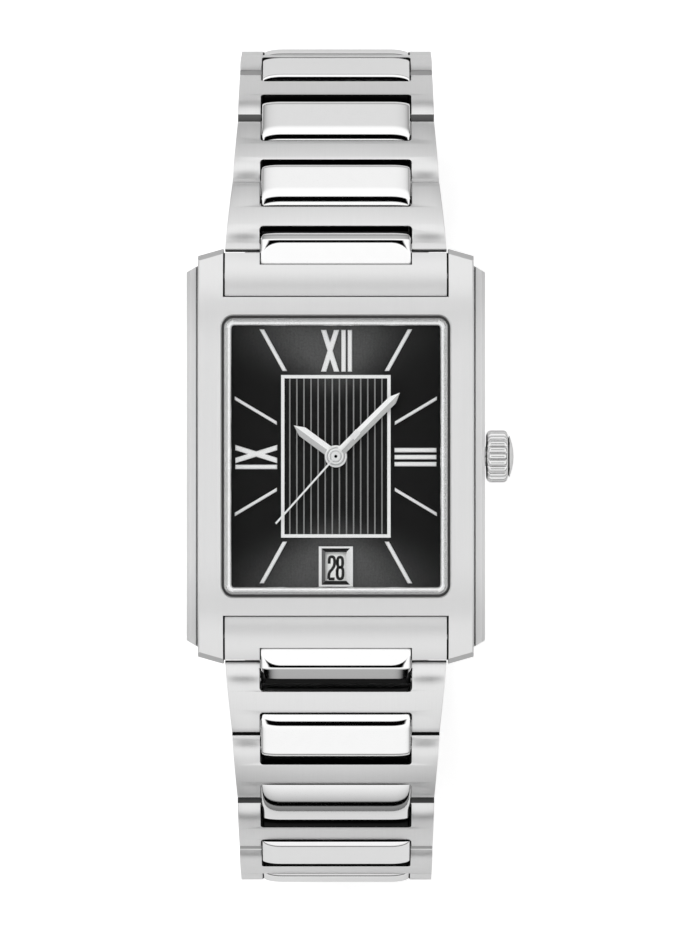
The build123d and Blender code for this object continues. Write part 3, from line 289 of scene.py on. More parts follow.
def dial_finish():
    """Black with a painted sheen that fans out above and below, weaker between one and two
    o'clock.
    """
    made = Finish("dial_black")
    x, y, z = made.axes()
    fan = made.step(abs(y) / (abs(x) + 0.004), 0.55, 1.7)
    far = made.step(abs(y), 5 * MM, 11 * MM)
    grain = made.grain(9000, detail=3.0, lines=(1, 0.12, 0.12))
    speck = made.grain(5200, detail=3.0)
    one_two = made.step(x, 1 * MM, 8 * MM) * made.step(y, 3 * MM, 8 * MM)
    # Painted sheen: a lighter fan above and below the axis stands in for reflected light.
    painted_sheen = fan * far * (grain * 0.4 + speck * 0.7 + 0.4) * (1 - one_two * 0.6)
    field = made.mix(painted_sheen, grey(0.006), grey(0.095))
    # Painted highlight: the raised lines of the centre field are a lighter grey, as if lit.
    line = made.step(z, (DIAL_TOP + 0.02) * MM, (DIAL_TOP + 0.045) * MM)
    return made.surface(
        Base_Color=made.mix(line, field, grey(0.30)), Metallic=line * 0.5,
        Roughness=grain * 0.15 + 0.42, Specular_IOR_Level=0.15)


dial_black = dial_finish()
print("dial finish:", dial_black.name)

# %% [markdown]
# Markers and hands are satin: one even fine grain. A hand is a low roof whose two sides get
# painted light and shade, one lighter and one greyer, and the date window's bevels get a painted
# reflection of the dark dial. Both are told by the way that the surface faces, which turns with
# the piece.

# %% Markers, hands and flange
SATIN_GRAIN = 11000


def satin_trim(name, colour, rough, metal):
    made = Finish(name)
    grain = made.grain(SATIN_GRAIN, detail=3.0)
    return made.surface(
        Base_Color=made.mix(grain, grey(colour * 0.95), grey(colour)), Metallic=metal,
        Roughness=grain * 0.1 + rough, Normal=made.bump(grain, 0.0000006))


def roof_finish():
    """Painted light and shade: the side that looks up the dial is bright, the other greyer."""
    made = Finish("hand_roof")
    # Painted light and shade: the two sides are lit and shaded copies of one satin grey.
    bright = made.step(made.facing()[1], -0.09, 0.09)
    grain = made.grain(SATIN_GRAIN, detail=3.0)
    return made.surface(
        Base_Color=made.mix(bright, grey(0.56), grey(0.99)), Metallic=0.45,
        Roughness=grain * 0.1 + 0.34)


def date_rim_finish():
    """Satin on the rim; bevels get a painted reflection of the dark dial above, below and on the
    left.
    """
    made = Finish("date_rim")
    face_x, face_y, face_z = made.facing()
    grain = made.grain(SATIN_GRAIN, detail=3.0)
    satin = made.mix(grain, grey(0.93), grey(0.98))
    # Painted reflection: the bevel facing +x is dark grey, and those facing up or down the dial
    # near black.
    satin_with_painted_reflection = made.mix(made.step(face_x, 0.2, 0.35), satin, grey(0.16))
    return made.surface(
        Base_Color=made.mix(made.step(abs(face_y), 0.2, 0.35), satin_with_painted_reflection, grey(0.008)), Metallic=0.35,
        Roughness=grain * 0.1 + 0.4)


date_rim = date_rim_finish()
hand_roof = roof_finish()
trim_silver = satin_trim("trim_silver", 0.99, 0.42, metal=0.25)
hand_silver = satin_trim("hand_silver", 0.99, 0.34, metal=0.35)
flange_silver = polished_steel("flange_silver", 0.96, 0.17)
print("trim finishes:", [made.name for made in (date_rim, hand_roof, trim_silver, hand_silver)])

# %% [markdown]
# The date disc is matt white enamel, and its numbers are printed in black ink.

# %% Date disc and ink
def date_white_finish():
    made = Finish("date_white")
    speck = made.grain(7000, detail=2.0)
    return made.surface(
        Base_Color=made.mix(speck, (0.93, 0.93, 0.92, 1), (0.97, 0.97, 0.96, 1)),
        Roughness=0.55)


def ink_finish():
    made = Finish("date_ink")
    speck = made.grain(9000, detail=2.0)
    return made.surface(
        Base_Color=made.mix(speck, grey(0.004), grey(0.012)), Roughness=speck * 0.1 + 0.45)


date_white = date_white_finish()
date_ink = ink_finish()
print("date finishes:", date_white.name, date_ink.name)

# %% [markdown]
# A watch glass is nearly invisible from straight above and mirrors at its edges. A Fresnel
# factor between a clear and a glossy shader gives that without the noise of real refraction.
# Its ground edge, which faces sideways, is glossier than its top.

# %% Glass
def glass_finish():
    made = Finish("glass")
    clear = made.node("ShaderNodeBsdfTransparent", inputs={"Color": (0.995, 0.997, 0.997, 1)})
    gloss = made.node("ShaderNodeBsdfGlossy", inputs={"Color": (1, 1, 1, 1), "Roughness": 0.02})
    edge = made.node("ShaderNodeFresnel", inputs={"IOR": 1.5})
    ground = 1 - made.step(abs(made.facing()[2]), 0.8, 0.98)
    factor = made.maths("MAXIMUM", edge * 0.35, ground * 0.45)
    return made.finish(made.node("ShaderNodeMixShader", inputs={0: factor, 1: clear, 2: gloss}))


glass = glass_finish()
print("glass finish:", glass.name)

# %% [markdown]
# Inside the case sit a quartz movement and its plastics. They show only when the back or the
# glass comes off, but each still gets the surface of the real material.

# %% Movement finishes
def striped_brass():
    made = Finish("movement_brass")
    x, y = made.axes()[:2]
    wave = made.maths("SINE", (x + y) * 9000)
    stripe = made.step(wave, -0.4, 0.4)
    grain = made.grain(6000)
    return made.surface(
        Base_Color=made.mix(stripe, (0.66, 0.50, 0.22, 1), (0.80, 0.65, 0.34, 1)), Metallic=1.0,
        Roughness=grain * 0.12 + 0.25)


def wound_copper():
    made = Finish("coil_copper")
    turn = made.step(made.maths("SINE", made.axes()[0] * 80000), -0.9, 0.9)
    return made.surface(
        Base_Color=made.mix(turn, (0.34, 0.12, 0.05, 1), (0.78, 0.36, 0.18, 1)), Metallic=0.9,
        Roughness=0.35, Normal=made.bump(turn, 0.00002))


def printed_board():
    made = Finish("board_green")
    x, y = made.axes()[:2]
    tracks = made.step(made.maths("SINE", (x + abs(y) * 0.6) * 16000), 0.55, 0.7)
    speck = made.grain(4000)
    green = made.mix(speck, (0.02, 0.16, 0.07, 1), (0.04, 0.24, 0.11, 1))
    return made.surface(
        Base_Color=made.mix(tracks, green, (0.62, 0.46, 0.20, 1)), Metallic=tracks * 0.9,
        Roughness=0.38)


def moulded(name, dark, light, rough):
    made = Finish(name)
    speck = made.grain(3500, detail=4.0)
    return made.surface(
        Base_Color=made.mix(speck, dark, light), Roughness=speck * 0.12 + rough,
        Normal=made.bump(speck, 0.000002))


movement_brass = striped_brass()
coil_copper = wound_copper()
board_green = printed_board()
holder_plastic = moulded("holder_plastic", grey(0.62, 0.03), grey(0.72, 0.03), 0.5)
gasket_plastic = moulded("gasket_plastic", grey(0.012), grey(0.03), 0.5)
rubber_black = moulded("rubber_black", grey(0.015), grey(0.03), 0.65)
cell_steel = brushed_steel("cell_steel", 0.70, 0.22, cross=(0.3, 0.3, 0.3))
print("all finishes:", len(bpy.data.materials))

# %% [markdown]
# The CAD solids whose shape is right stay as they are and only take a finish.

# %% Give each CAD node its finish
node_finishes = {
    case_steel: ["case_middle", "case_back", "end_link_12", "end_link_6", "clasp_cover"],
    blade_steel: ["clasp_blade_middle", "clasp_blade_inner", "setting_lever"],
    mirror_steel: ["clasp_button_left", "clasp_button_right"],
    pin_steel: [
        "case_back_screws", "clasp_cover_pins", "clasp_blade_pin", "spring_bars", "seconds_arbor",
        "cannon_pinion", "crown_stem", "crown_tube"],
    crown_steel: ["crown"],
    dial_black: ["dial_plate"],
    trim_silver: ["dial_frame", "hour_numerals", "hour_batons"],
    date_rim: ["date_frame"],
    hand_roof: ["hour_hand", "minute_hand"],
    hand_silver: ["second_hand"],
    flange_silver: ["dial_flange"],
    glass: ["crystal"],
    gasket_plastic: ["crystal_gasket"],
    rubber_black: ["case_back_gasket", "crown_gasket"],
    date_white: ["date_disc"],
    holder_plastic: ["movement_holder"],
    movement_brass: ["movement_plate", "hour_wheel", "minute_wheel"],
    board_green: ["circuit_board"],
    coil_copper: ["drive_coil"],
    cell_steel: ["battery_cell", "battery_clamp"],
}
for finish, names in node_finishes.items():
    for name in names:
        slots = nodes[name].data.materials
        slots.clear()
        slots.append(finish)
print("CAD nodes with a finish:", sum(len(names) for names in node_finishes.values()))

# %% [markdown]
# A new piece is a bmesh turned into an object. Its place is in its mesh and the object stays
# at the origin, so a pattern on Object coordinates lies still. Smooth shading with sharp
# edges by angle keeps machined edges crisp.

# %% From bmesh to a piece that rides on a body
SHARP_ANGLE = math.radians(32)


def make_piece(name, shape, finish, body, slot, replaced=None, sharp=SHARP_ANGLE):
    """Cleans a shape, makes it an object and says what it rides on and stands for."""
    bmesh.ops.remove_doubles(shape, verts=shape.verts, dist=1e-8)
    bmesh.ops.recalc_face_normals(shape, faces=shape.faces)
    mesh = bpy.data.meshes.new(name)
    shape.to_mesh(mesh)
    shape.free()
    mesh.shade_smooth()
    mesh.set_sharp_from_angle(angle=sharp)
    mesh.materials.append(finish)
    piece = bpy.data.objects.new(name, mesh)
    bpy.context.scene.collection.objects.link(piece)
    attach(piece, body)
    if replaced:
        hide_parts(replaced)
    return piece


def bevel(shape, edges, width, segments):
    bmesh.ops.bevel(
        shape, geom=edges, offset=width, segments=segments, affect="EDGES", profile=0.5,
        material=-1, clamp_overlap=True)


def cut(shape, where, normal):
    """Splits the whole shape along a plane."""
    everything = shape.verts[:] + shape.edges[:] + shape.faces[:]
    bmesh.ops.bisect_plane(shape, geom=everything, plane_co=where, plane_no=normal)


def only(kind, items):
    return [item for item in items if isinstance(item, kind)]


def push(shape, face, way):
    """Extrudes one face into a solid."""
    pushed = bmesh.ops.extrude_face_region(shape, geom=[face])["geom"]
    bmesh.ops.translate(shape, verts=only(bmesh.types.BMVert, pushed), vec=way)


def mark_gap(shape, share):
    """Writes each face's painted shade, 0 to 1, as share(face) gives it, to the attribute gap."""
    shape.normal_update()
    gap = shape.faces.layers.float.new("gap")
    for face in shape.faces:
        face[gap] = share(face)


print("edges sharper than", round(math.degrees(SHARP_ANGLE)), "degrees stay crisp")


# %% [markdown]
# A link is an H-shaped brushed frame. Its outline is twelve points, its pockets get rounded
# corners, and its top is a shallow arch along the bracelet that ends, nearest the case, in a
# round about the hinge pin. A link is shaped flat, in its own axes: x across, y along the chain
# from the hinge pin, z outwards. Faces that stand in a slot are marked for painted shade.

# %% Shape one link frame
LINK_PITCH = 7.5
POCKET_HALF = 7.9
NEAR_LIP = -1.4
NEAR_RADIUS = 1.42
FAR_END = 6.07
ARCH_START = -1.3
ARCH_TOP = 1.55
ARCH_DROP = 0.30
NEAR_FALL = 0.17
NEAR_FALL_START = 0.9
LINK_DEPTH = 1.3
LIP = 0.3
SLOT_TILT = 0.5
END_TILT = 0.72
POCKET_CORNER = 0.35
RIM = 0.11
NEAR_ENOUGH = 0.01
NEAR_CUTS = [-1.34, -1.25, -1.12, -0.96, -0.78, -0.58, -0.36, -0.16, 0.05]
FAR_CUTS = [0.5 * step for step in range(1, 12)]


def soft_min(first, second, reach):
    """The lower of two heights, rounded where they come within a reach of each other."""
    close = max(reach - abs(first - second), 0)
    return min(first, second) - close * close / (4 * reach)


def arch(along):
    """Height of a link's top at a distance from its hinge pin, in millimetres."""
    middle = (ARCH_START + FAR_END) / 2
    top = ARCH_TOP - ARCH_DROP * ((along - middle) / (FAR_END - middle)) ** 2
    top -= NEAR_FALL * max(NEAR_FALL_START - along, 0) ** 2
    if along < 0:
        top = soft_min(top, math.sqrt(max(NEAR_RADIUS ** 2 - along ** 2, 0)), 0.1)
    return top


def h_outline(near_half, far_half, near, low, high):
    """An H whose crossbar runs from low to high along the link."""
    pocket = POCKET_HALF
    return [
        (-near_half, near), (-pocket, near), (-pocket, low), (pocket, low), (pocket, near),
        (near_half, near), (far_half, FAR_END), (pocket, FAR_END), (pocket, high),
        (-pocket, high), (-pocket, FAR_END), (-far_half, FAR_END)]


def undercut(low):
    """How far the foot of the near pocket's wall lies from its rim, along the link."""
    if low < 1:
        return 0.17
    return 0 if low < 1.3 else -LIP


def slot_share(half, end_painted_shade=0):
    """Steep faces within half a width of the middle get painted shade, end faces as much as asked.
    """
    def share(face):
        inside = abs(face.calc_center_median().x) < half * MM
        if inside and abs(face.normal.z) < SLOT_TILT:
            return 1.0
        return end_painted_shade if abs(face.normal.y) > END_TILT else 0.0
    return share


def link_frame_shape(near_half, far_half, near, end_painted_shade, low, high):
    """Extrudes the H, rounds its pockets, cuts it across and lays each row on the arch."""
    shape = bmesh.new()
    outline = h_outline(near_half, far_half, near, low, high)
    corners = [shape.verts.new(mm(x, along, 0)) for x, along in outline]
    push(shape, shape.faces.new(corners), mm(0, 0, 1))
    inner = [
        edge for edge in shape.edges
        if abs(edge.verts[0].co.z - edge.verts[1].co.z) > 0.5 * MM
        and abs(abs(edge.verts[0].co.x) - POCKET_HALF * MM) < NEAR_ENOUGH * MM
        and 0 < edge.verts[0].co.y < 5 * MM]
    bevel(shape, inner, POCKET_CORNER * MM, 4)
    for along in NEAR_CUTS + FAR_CUTS:
        cut(shape, mm(0, along, 0), (0, 1, 0))
    for vert in shape.verts:
        along = vert.co.y / MM
        if vert.co.z > 0.5 * MM:
            vert.co.z = arch(along) * MM
        else:
            vert.co.z = -math.sqrt(max(LINK_DEPTH ** 2 - min(along, 0) ** 2, 0)) * MM
            if abs(along - low) < NEAR_ENOUGH and abs(vert.co.x) < POCKET_HALF * MM:
                vert.co.y += undercut(low) * MM
            if abs(along - near) < NEAR_ENOUGH:
                vert.co = Vector((vert.co.x, min(near, NEAR_LIP) * MM, 0))
    bmesh.ops.recalc_face_normals(shape, faces=shape.faces)
    rims = [
        edge for edge in shape.edges
        if len(edge.link_faces) == 2 and edge.calc_face_angle() > math.radians(50)
        and (edge.verts[0].co.z + edge.verts[1].co.z) / 2 > 0.9 * MM]
    bevel(shape, rims, RIM * MM, 2)
    # Pocket walls, and end faces as much as the table asks, get painted shade.
    mark_gap(shape, slot_share(POCKET_HALF + 0.02, end_painted_shade))
    return shape


print("a link's top is", round(arch(0), 2), "mm above its pin and at most", ARCH_TOP)


# %% [markdown]
# Between two frames sits a mirror-polished bar. From above it is a long pillow: a facet along
# the edge nearest the case, a broad round, a long face, and ends that roll off. The dark and
# light bands that cross it in a photograph are only the room, seen in those curves. So its top
# is a profile of straight runs, and each ridge between two runs is rounded by a soft minimum.
# Many narrow strips keep the reflections smooth.

# %% Shape one polished bar
BAR_HALF = 7.8
BAR_DEPTH = 0.9
END_ROLL = 2.0
END_DROP = 0.5
ROLL_STEPS = 8
NEAR_ROLL_SHARE = 0.15
BAR_STEPS = 50


def profile_height(along, points, blends, roll):
    """Height of a profile of straight runs; the ends of the bar roll off less on the first run."""
    height = None
    for (start, low), (end, high), blend in zip(points, points[1:], [None] + blends):
        run = low + (along - start) * (high - low) / (end - start)
        if height is None:
            height = run - roll * NEAR_ROLL_SHARE
        else:
            height = soft_min(height, run - roll, blend)
    return height


def bar_shape(points, blends, hinge):
    """A bar along x whose far end is rounded about a hinge pin."""
    start, end = points[0][0], points[-1][0]
    shape = bmesh.new()
    outline = [
        (start, -BAR_DEPTH), (hinge, -BAR_DEPTH), (hinge + (end - hinge) * 0.7, -0.62),
        (end, -0.1), (end, 1), (start, 1)]
    corners = [shape.verts.new(mm(-BAR_HALF, along, height)) for along, height in outline]
    push(shape, shape.faces.new(corners), mm(2 * BAR_HALF, 0, 0))
    for step in range(1, BAR_STEPS):
        cut(shape, mm(0, start + (end - start) * step / BAR_STEPS, 0), (0, 1, 0))
    for step in range(1, ROLL_STEPS + 1):
        inset = END_ROLL * (1 - math.cos(math.radians(90 * step / ROLL_STEPS)))
        for way in (-1, 1):
            cut(shape, mm(way * (BAR_HALF - inset), 0, 0), (1, 0, 0))
    for vert in shape.verts:
        if vert.co.z > 0.5 * MM:
            reach = max(abs(vert.co.x) / MM - (BAR_HALF - END_ROLL), 0) / END_ROLL
            roll = END_DROP * (1 - math.sqrt(max(1 - reach ** 2, 0)))
            vert.co.z = profile_height(vert.co.y / MM, points, blends, roll) * MM
    bmesh.ops.recalc_face_normals(shape, faces=shape.faces)
    # The bar's steep faces in the slots get painted shade.
    mark_gap(shape, slot_share(BAR_HALF + 0.1))
    return shape


print("a bar is", 2 * BAR_HALF, "mm wide and rolls off over", END_ROLL, "mm at each end")


# %% [markdown]
# A hinge pin is a short round rod. Its ends are chamfered and lie a little inside the frame.

# %% Shape the pins
PIN_CHAMFER = 0.08


def pin_shape(rods):
    """Rods along x, each given as (half length, radius, place along the link)."""
    shape = bmesh.new()
    for half_length, radius, along in rods:
        made = bmesh.ops.create_cone(
            shape, cap_ends=True, segments=28, radius1=radius * MM, radius2=radius * MM,
            depth=2 * half_length * MM)["verts"]
        ends = {edge for vert in made for edge in vert.link_edges
                if abs(edge.verts[0].co.z - edge.verts[1].co.z) < NEAR_ENOUGH * MM}
        bmesh.ops.rotate(shape, verts=made, matrix=Matrix.Rotation(math.radians(90), 3, "Y"))
        bmesh.ops.translate(shape, verts=made, vec=mm(0, along, 0))
        bevel(shape, list(ends), PIN_CHAMFER * MM, 1)
    return shape


print("pins are chamfered by", PIN_CHAMFER, "mm")


# %% [markdown]
# No two of the first links look alike from above, because each is seen at its own tilt. A row of
# the table holds what differs: where the frame's near end lies and its ends' painted shade, the
# crossbar's place, the bar's end, its near facet's length, slope and blend, and how steeply its
# long face falls, where that isn't the usual slight fall. Lengths are in millimetres.

# %% Table of the links
CHAINS = (("12", 1), ("6", -1))
USUAL = [(-1.3, 0.7), (1.45, 3.45), 8.35, (0.5, 40, 0.3), None]
LINK_SHAPES = {
    "12": [
        [(-1.4, 0.2), (0.78, 3.1), 8.35, (1.05, 42, 0.95), None],
        [(-1.35, 1.0), (1.13, 3.45), 8.65, (0.9, 42, 0.75), None],
        [(-0.8, 0.85), (1.9, 4.6), 8.9, (0.4, 58, 0.3), None],
        [(-0.7, 0.6), (3.0, 5.6), 8.35, (0.3, 40, 0.2), None]] + [USUAL] * 5,
    "6": [
        [(-1.4, 0.2), (1.45, 3.85), 8.85, (0.85, 40, 0.9), None],
        [(-1.1, 1.0), (1.9, 4.3), 9.45, (1.85, 6, 1.0), 19],
        [(-0.95, 0.9), (2.3, 4.7), 8.9, (0.35, 40, 0.2), None],
        [(-0.9, 0.6), (2.6, 5.6), 8.35, (0.3, 40, 0.2), None]] + [USUAL] * 5}
SIDE_HALVES = [11.5, 10.8, 10.3] + [10.2] * 7
BAR_TOP = 1.75
BAR_TOPS = [BAR_TOP, BAR_TOP, 1.9] + [1.58] * 6
print("links in the table:", {chain: len(rows) for chain, rows in LINK_SHAPES.items()})

# %% [markdown]
# Two kinds of bar share the pillow. A link's bar has a steep near facet and a long face. The
# end link's bar is a low roof: a face that leans to the case, a narrow ridge, and a far side
# that falls more steeply. Heights follow from lengths and slopes.

# %% Profiles of the bars
FAR_EDGE = 0.4
EAVES_EDGE = 0.3
EAVES_DROP = 0.4
FACE_FALL = 0.8
END_BAR_LEAN = 11
RIDGE_WIDTH = 0.22
RIDGE_SLOPE = 3


def drop_over(length, slope):
    """How far a slope in degrees falls over a length."""
    return length * math.tan(math.radians(slope))


def end_bar_profile(start, end, length, fall, blend):
    """The roof of an end link's bar."""
    ridge = start + length
    foot = BAR_TOP - drop_over(length, END_BAR_LEAN)
    crest = BAR_TOP - drop_over(RIDGE_WIDTH, RIDGE_SLOPE)
    eaves = crest - drop_over(end - EAVES_EDGE - ridge - RIDGE_WIDTH, fall)
    points = [
        (start, foot), (ridge, BAR_TOP), (ridge + RIDGE_WIDTH, crest),
        (end - EAVES_EDGE, eaves), (end, eaves - EAVES_DROP)]
    return points, [blend, 0.03, 0.1]


def bar_profile(start, end, top, near_run, fall):
    """A link's bar: the near facet, the long face and the far edge."""
    length, slope, blend = near_run
    edge, edge_blend = (EAVES_EDGE, 0.1) if fall else (FAR_EDGE, 0.35)
    foot = top - drop_over(length, slope)
    drop = drop_over(end - edge - start - length, fall or FACE_FALL)
    points = [
        (start, foot), (start + length, top), (end - edge, top - drop),
        (end, top - drop - edge * 1.3)]
    return points, [blend, edge_blend]


print("a link's bar stands", BAR_TOP, "mm above its pin")

# %% [markdown]
# The chains start flat and curl down behind the case. The frame's joints hold every pin, and a
# hinge's range holds how far each link is curled, so both chains are laid out from them.

# %% Lay out both chains
CURL_SPARE = 3.0
PIN_RECESS = 0.25
BAR_PIN = 4.7
BAR_GAP = 0.06


def link_matrix(pin, tilt, side):
    """Turns a shape from the link's own axes to its place on the watch."""
    turn = math.radians(tilt)
    across = Vector((side, 0, 0))
    along = Vector((0, side * math.cos(turn), -math.sin(turn)))
    outward = Vector((0, side * math.sin(turn), math.cos(turn)))
    rows = Matrix((across, along, outward)).transposed().to_4x4()
    return Matrix.Translation(pin) @ rows


link_count = 0
for chain, side in CHAINS:
    tilt = 0.0
    for index, row in enumerate(LINK_SHAPES[chain]):
        node = f"link_{chain}_{index + 1}"
        joint = joints[f"{node}_hinge"]
        tilt += joint["range_deg"][1] - CURL_SPARE
        place = link_matrix(Vector(joint["pos_m"]), tilt, side)
        near_half, far_half = SIDE_HALVES[index:index + 2]
        (near, end_painted_shade), (low, high), bar_end, near_run, fall = row
        points, blends = bar_profile(high + BAR_GAP, bar_end, BAR_TOPS[index], near_run, fall)
        rods = [(near_half - PIN_RECESS, 0.5, 0), (far_half - PIN_RECESS, 0.4, BAR_PIN)]
        frame_shape = link_frame_shape(near_half, far_half, near, end_painted_shade, low, high)
        shapes = {
            "frame": (frame_shape, link_steel, "case_steel"),
            "bar": (bar_shape(points, blends, LINK_PITCH), mirror_steel, "bright_steel"),
            "pins": (pin_shape(rods), pin_steel, "bright_steel"),
        }
        for kind, (shape, finish, slot) in shapes.items():
            shape.transform(place)
            make_piece(f"{node}_{kind}", shape, finish, f"{node}_body", slot, replaced=node)
        link_count += 1
print("links laid out:", link_count)

# %% [markdown]
# The end links carry one more bar each, the roofed one, level with the case. A thin tongue
# under each end link, painted black all over as shade, closes the seam between it and the ears.

# %% End bars and tongues
END_BAR_START = 19.92
FIRST_PIN = 22.55
NOTCH_HALF = 11.7
END_LINK_START = 16.65
END_LINK_END = 21.2
TONGUE = (4.0, 4.25)
TONGUE_CHAMFER = 0.04
END_BARS = {  # length of the near face, fall of the far one, end, blend
    "12": (2.35, 36.5, 0.8, 0.1),
    "6": (1.85, 36.5, 1.05, 0.08)}


def tongue_shape(side):
    """A thin plate that fills the width between the ears."""
    shape = bmesh.new()
    bmesh.ops.create_cube(shape, size=1)
    low, high = TONGUE
    size = (2 * NOTCH_HALF + 0.02, END_LINK_END - END_LINK_START, high - low)
    bmesh.ops.scale(shape, verts=shape.verts, vec=mm(*size))
    bevel(shape, shape.edges[:], TONGUE_CHAMFER * MM, 1)
    middle = mm(0, side * (END_LINK_START + END_LINK_END) / 2, (low + high) / 2)
    bmesh.ops.translate(shape, verts=shape.verts, vec=middle)
    # Painted shade on every face: the tongue is near black all over.
    mark_gap(shape, lambda face: 1.0)
    return shape


for chain, side in CHAINS:
    pin = Vector(joints[f"link_{chain}_1_hinge"]["pos_m"])
    length, fall, end, blend = END_BARS[chain]
    points, blends = end_bar_profile(END_BAR_START - FIRST_PIN, end, length, fall, blend)
    shape = bar_shape(points, blends, 0)
    shape.transform(link_matrix(pin, 0, side))
    make_piece(
        f"end_bar_{chain}", shape, mirror_steel, "case", "bright_steel", replaced="end_bars")
    make_piece(
        f"end_link_shade_tongue_{chain}", tongue_shape(side), link_steel, "case", "case_steel")
print("end bars and tongues:", 2 * len(CHAINS))

# %% [markdown]
# The flange is the stepped ring between the glass and the dial. It starts as one rectangle with
# rounded corners, and each inset steps inwards and down: a slope, a bright lip, the broad band,
# another lip and the wall that reaches the dial.

# %% Steps of the flange
FLANGE_HALF = (11.8, 14.525)
FLANGE_CORNER = 1.25
FLANGE_TOP = 6.92
FLANGE_STEPS = [  # inwards, down
    (0.34, 0.22), (0.07, 0.05), (0.38, 0.14), (0.09, 0.06), (0.07, 0.08), (0.01, 0.55)]
flange = bmesh.new()
bmesh.ops.create_grid(flange, x_segments=1, y_segments=1, size=1)
bmesh.ops.scale(flange, verts=flange.verts, vec=mm(*FLANGE_HALF, 1))
bmesh.ops.bevel(
    flange, geom=flange.verts[:], offset=FLANGE_CORNER * MM, segments=9, affect="VERTICES",
    profile=0.5, material=-1, clamp_overlap=True)
for inward, drop in FLANGE_STEPS:
    middle = max(flange.faces, key=lambda face: face.calc_area())
    bmesh.ops.inset_region(
        flange, faces=[middle], thickness=inward * MM, depth=-drop * MM, use_even_offset=True,
        use_boundary=True)
print("flange faces after its steps:", len(flange.faces))

# %% [markdown]
# So far the flange is a shallow tray. Its floor is taken out, its rim is pulled down into an
# outer wall, and the two open loops are bridged, which makes it a closed ring.

# %% Close the flange into a ring
outer = [edge for edge in flange.edges if edge.is_boundary]
middle = max(flange.faces, key=lambda face: face.calc_area())
bmesh.ops.delete(flange, geom=[middle], context="FACES_ONLY")
inner = [edge for edge in flange.edges if edge.is_boundary and edge not in outer]
pulled = bmesh.ops.extrude_edge_only(flange, edges=outer)["geom"]
depth = sum(drop for inward, drop in FLANGE_STEPS)
bmesh.ops.translate(flange, verts=only(bmesh.types.BMVert, pulled), vec=mm(0, 0, -depth))
feet = [edge for edge in only(bmesh.types.BMEdge, pulled) if edge.is_boundary]
bmesh.ops.bridge_loops(flange, edges=feet + inner)
bmesh.ops.translate(flange, verts=flange.verts, vec=mm(0, 0, FLANGE_TOP))
print("flange faces:", len(flange.faces), "foot at", round(FLANGE_TOP - depth, 2), "mm")
make_piece(
    "flange_ring", flange, flange_silver, "case", "case_steel", replaced="dial_flange",
    sharp=math.radians(12))

# %% [markdown]
# The date disc carries the thirty-one days. Its narrow figures have one even stroke, which a
# squeezed typeface wouldn't give, so each figure is a few soft curves with a round stroke that
# is pressed flat. Their points are shares of a figure's width and height.

# %% Strokes of the ten figures
RING_LOW = [(0, .14), (0, .43), (.22, .53), (.78, .53), (1, .43), (1, .14), (.8, 0), (.2, 0)]
RING_HIGH = [
    (.06, .64), (.06, .88), (.25, 1), (.75, 1), (.94, .88), (.94, .64), (.75, .53), (.25, .53)]
FIGURES = {
    "0": [[(0, .2), (0, .8), (.15, 1), (.85, 1), (1, .8), (1, .2), (.85, 0), (.15, 0),
           (0, .2), (0, .5)]],
    "1": [[(.15, .8), (.4, .85), (.6, 1)], [(.6, 1), (.6, 0)]],
    "2": [[(.08, .7), (.08, .95), (.3, 1.02), (.75, 1.02), (1, .92), (1, .62), (.6, .45),
           (.1, .3), (0, .12), (0, 0)],
          [(0, 0), (1, 0)]],
    "3": [[(.05, .8), (.1, 1), (.5, 1.03), (1, .98), (1, .56), (.4, .53)],
          [(.4, .53), (1, .54), (1.05, .04), (.5, -.03), (.05, 0), (0, .2)]],
    "4": [[(.75, 0), (.75, 1)], [(.75, 1), (0, .3)], [(0, .3), (1, .3)]],
    "5": [[(.95, 1), (.12, 1)], [(.12, 1), (.05, .53)],
          [(.05, .53), (.5, .68), (1.02, .6), (1.02, .04), (.5, -.02), (.05, 0), (0, .2)]],
    "6": [RING_LOW + RING_LOW[:2], [(.85, 1), (.2, .92), (0, .7), (0, .3)]],
    "7": [[(0, 1), (1, 1)], [(1, 1), (.55, .6), (.4, 0)]],
    "8": [RING_LOW + RING_LOW[:2], RING_HIGH + RING_HIGH[:2]],
    "9": [[(1 - x, 1 - y) for x, y in RING_LOW + RING_LOW[:2]],
          [(.15, 0), (.8, .08), (1, .3), (1, .7)]],
}
print("figures drawn:", len(FIGURES))

# %% [markdown]
# A number is one curve object with a round stroke. It is turned into a mesh and pressed flat,
# because printing has hardly any height.

# %% Draw one number
STROKE = 0.3
FIGURE_WIDTH = 0.62
FIGURE_HEIGHT = 2.26
FIGURE_PITCH = 0.875
DATE_LIFT = 0.012


def number_shape(number):
    """A flat number whose middle is at the origin."""
    figures = str(number)
    curve = bpy.data.curves.new(f"day_{number}", "CURVE")
    curve.dimensions = "3D"
    curve.resolution_u = 4
    curve.bevel_depth = STROKE / 2 * MM
    curve.bevel_resolution = 1
    curve.use_fill_caps = True
    for place, figure in enumerate(figures):
        middle = (place - (len(figures) - 1) / 2) * FIGURE_PITCH
        for line in FIGURES[figure]:
            spline = curve.splines.new("NURBS")
            spline.points.add(len(line) - 1)
            for point, (x, y) in zip(spline.points, line):
                spot = mm(middle + (x - 0.5) * FIGURE_WIDTH, (y - 0.5) * FIGURE_HEIGHT, 0)
                point.co = (*spot, 1)
            spline.order_u = 3
            spline.use_endpoint_u = True
    drawn = bpy.data.objects.new(f"day_{number}", curve)
    bpy.context.scene.collection.objects.link(drawn)
    bpy.context.view_layer.update()
    seen = drawn.evaluated_get(bpy.context.evaluated_depsgraph_get())
    flat = bpy.data.meshes.new_from_object(seen)
    bpy.data.objects.remove(drawn)
    shape = bmesh.new()
    shape.from_mesh(flat)
    bpy.data.meshes.remove(flat)
    shape.transform(Matrix.Diagonal((1, 1, DATE_LIFT / STROKE, 1)))
    return shape


print("a figure is", FIGURE_WIDTH, "by", FIGURE_HEIGHT, "mm")

# %% [markdown]
# The disc turns clockwise, so tomorrow's number waits on the right of today's.

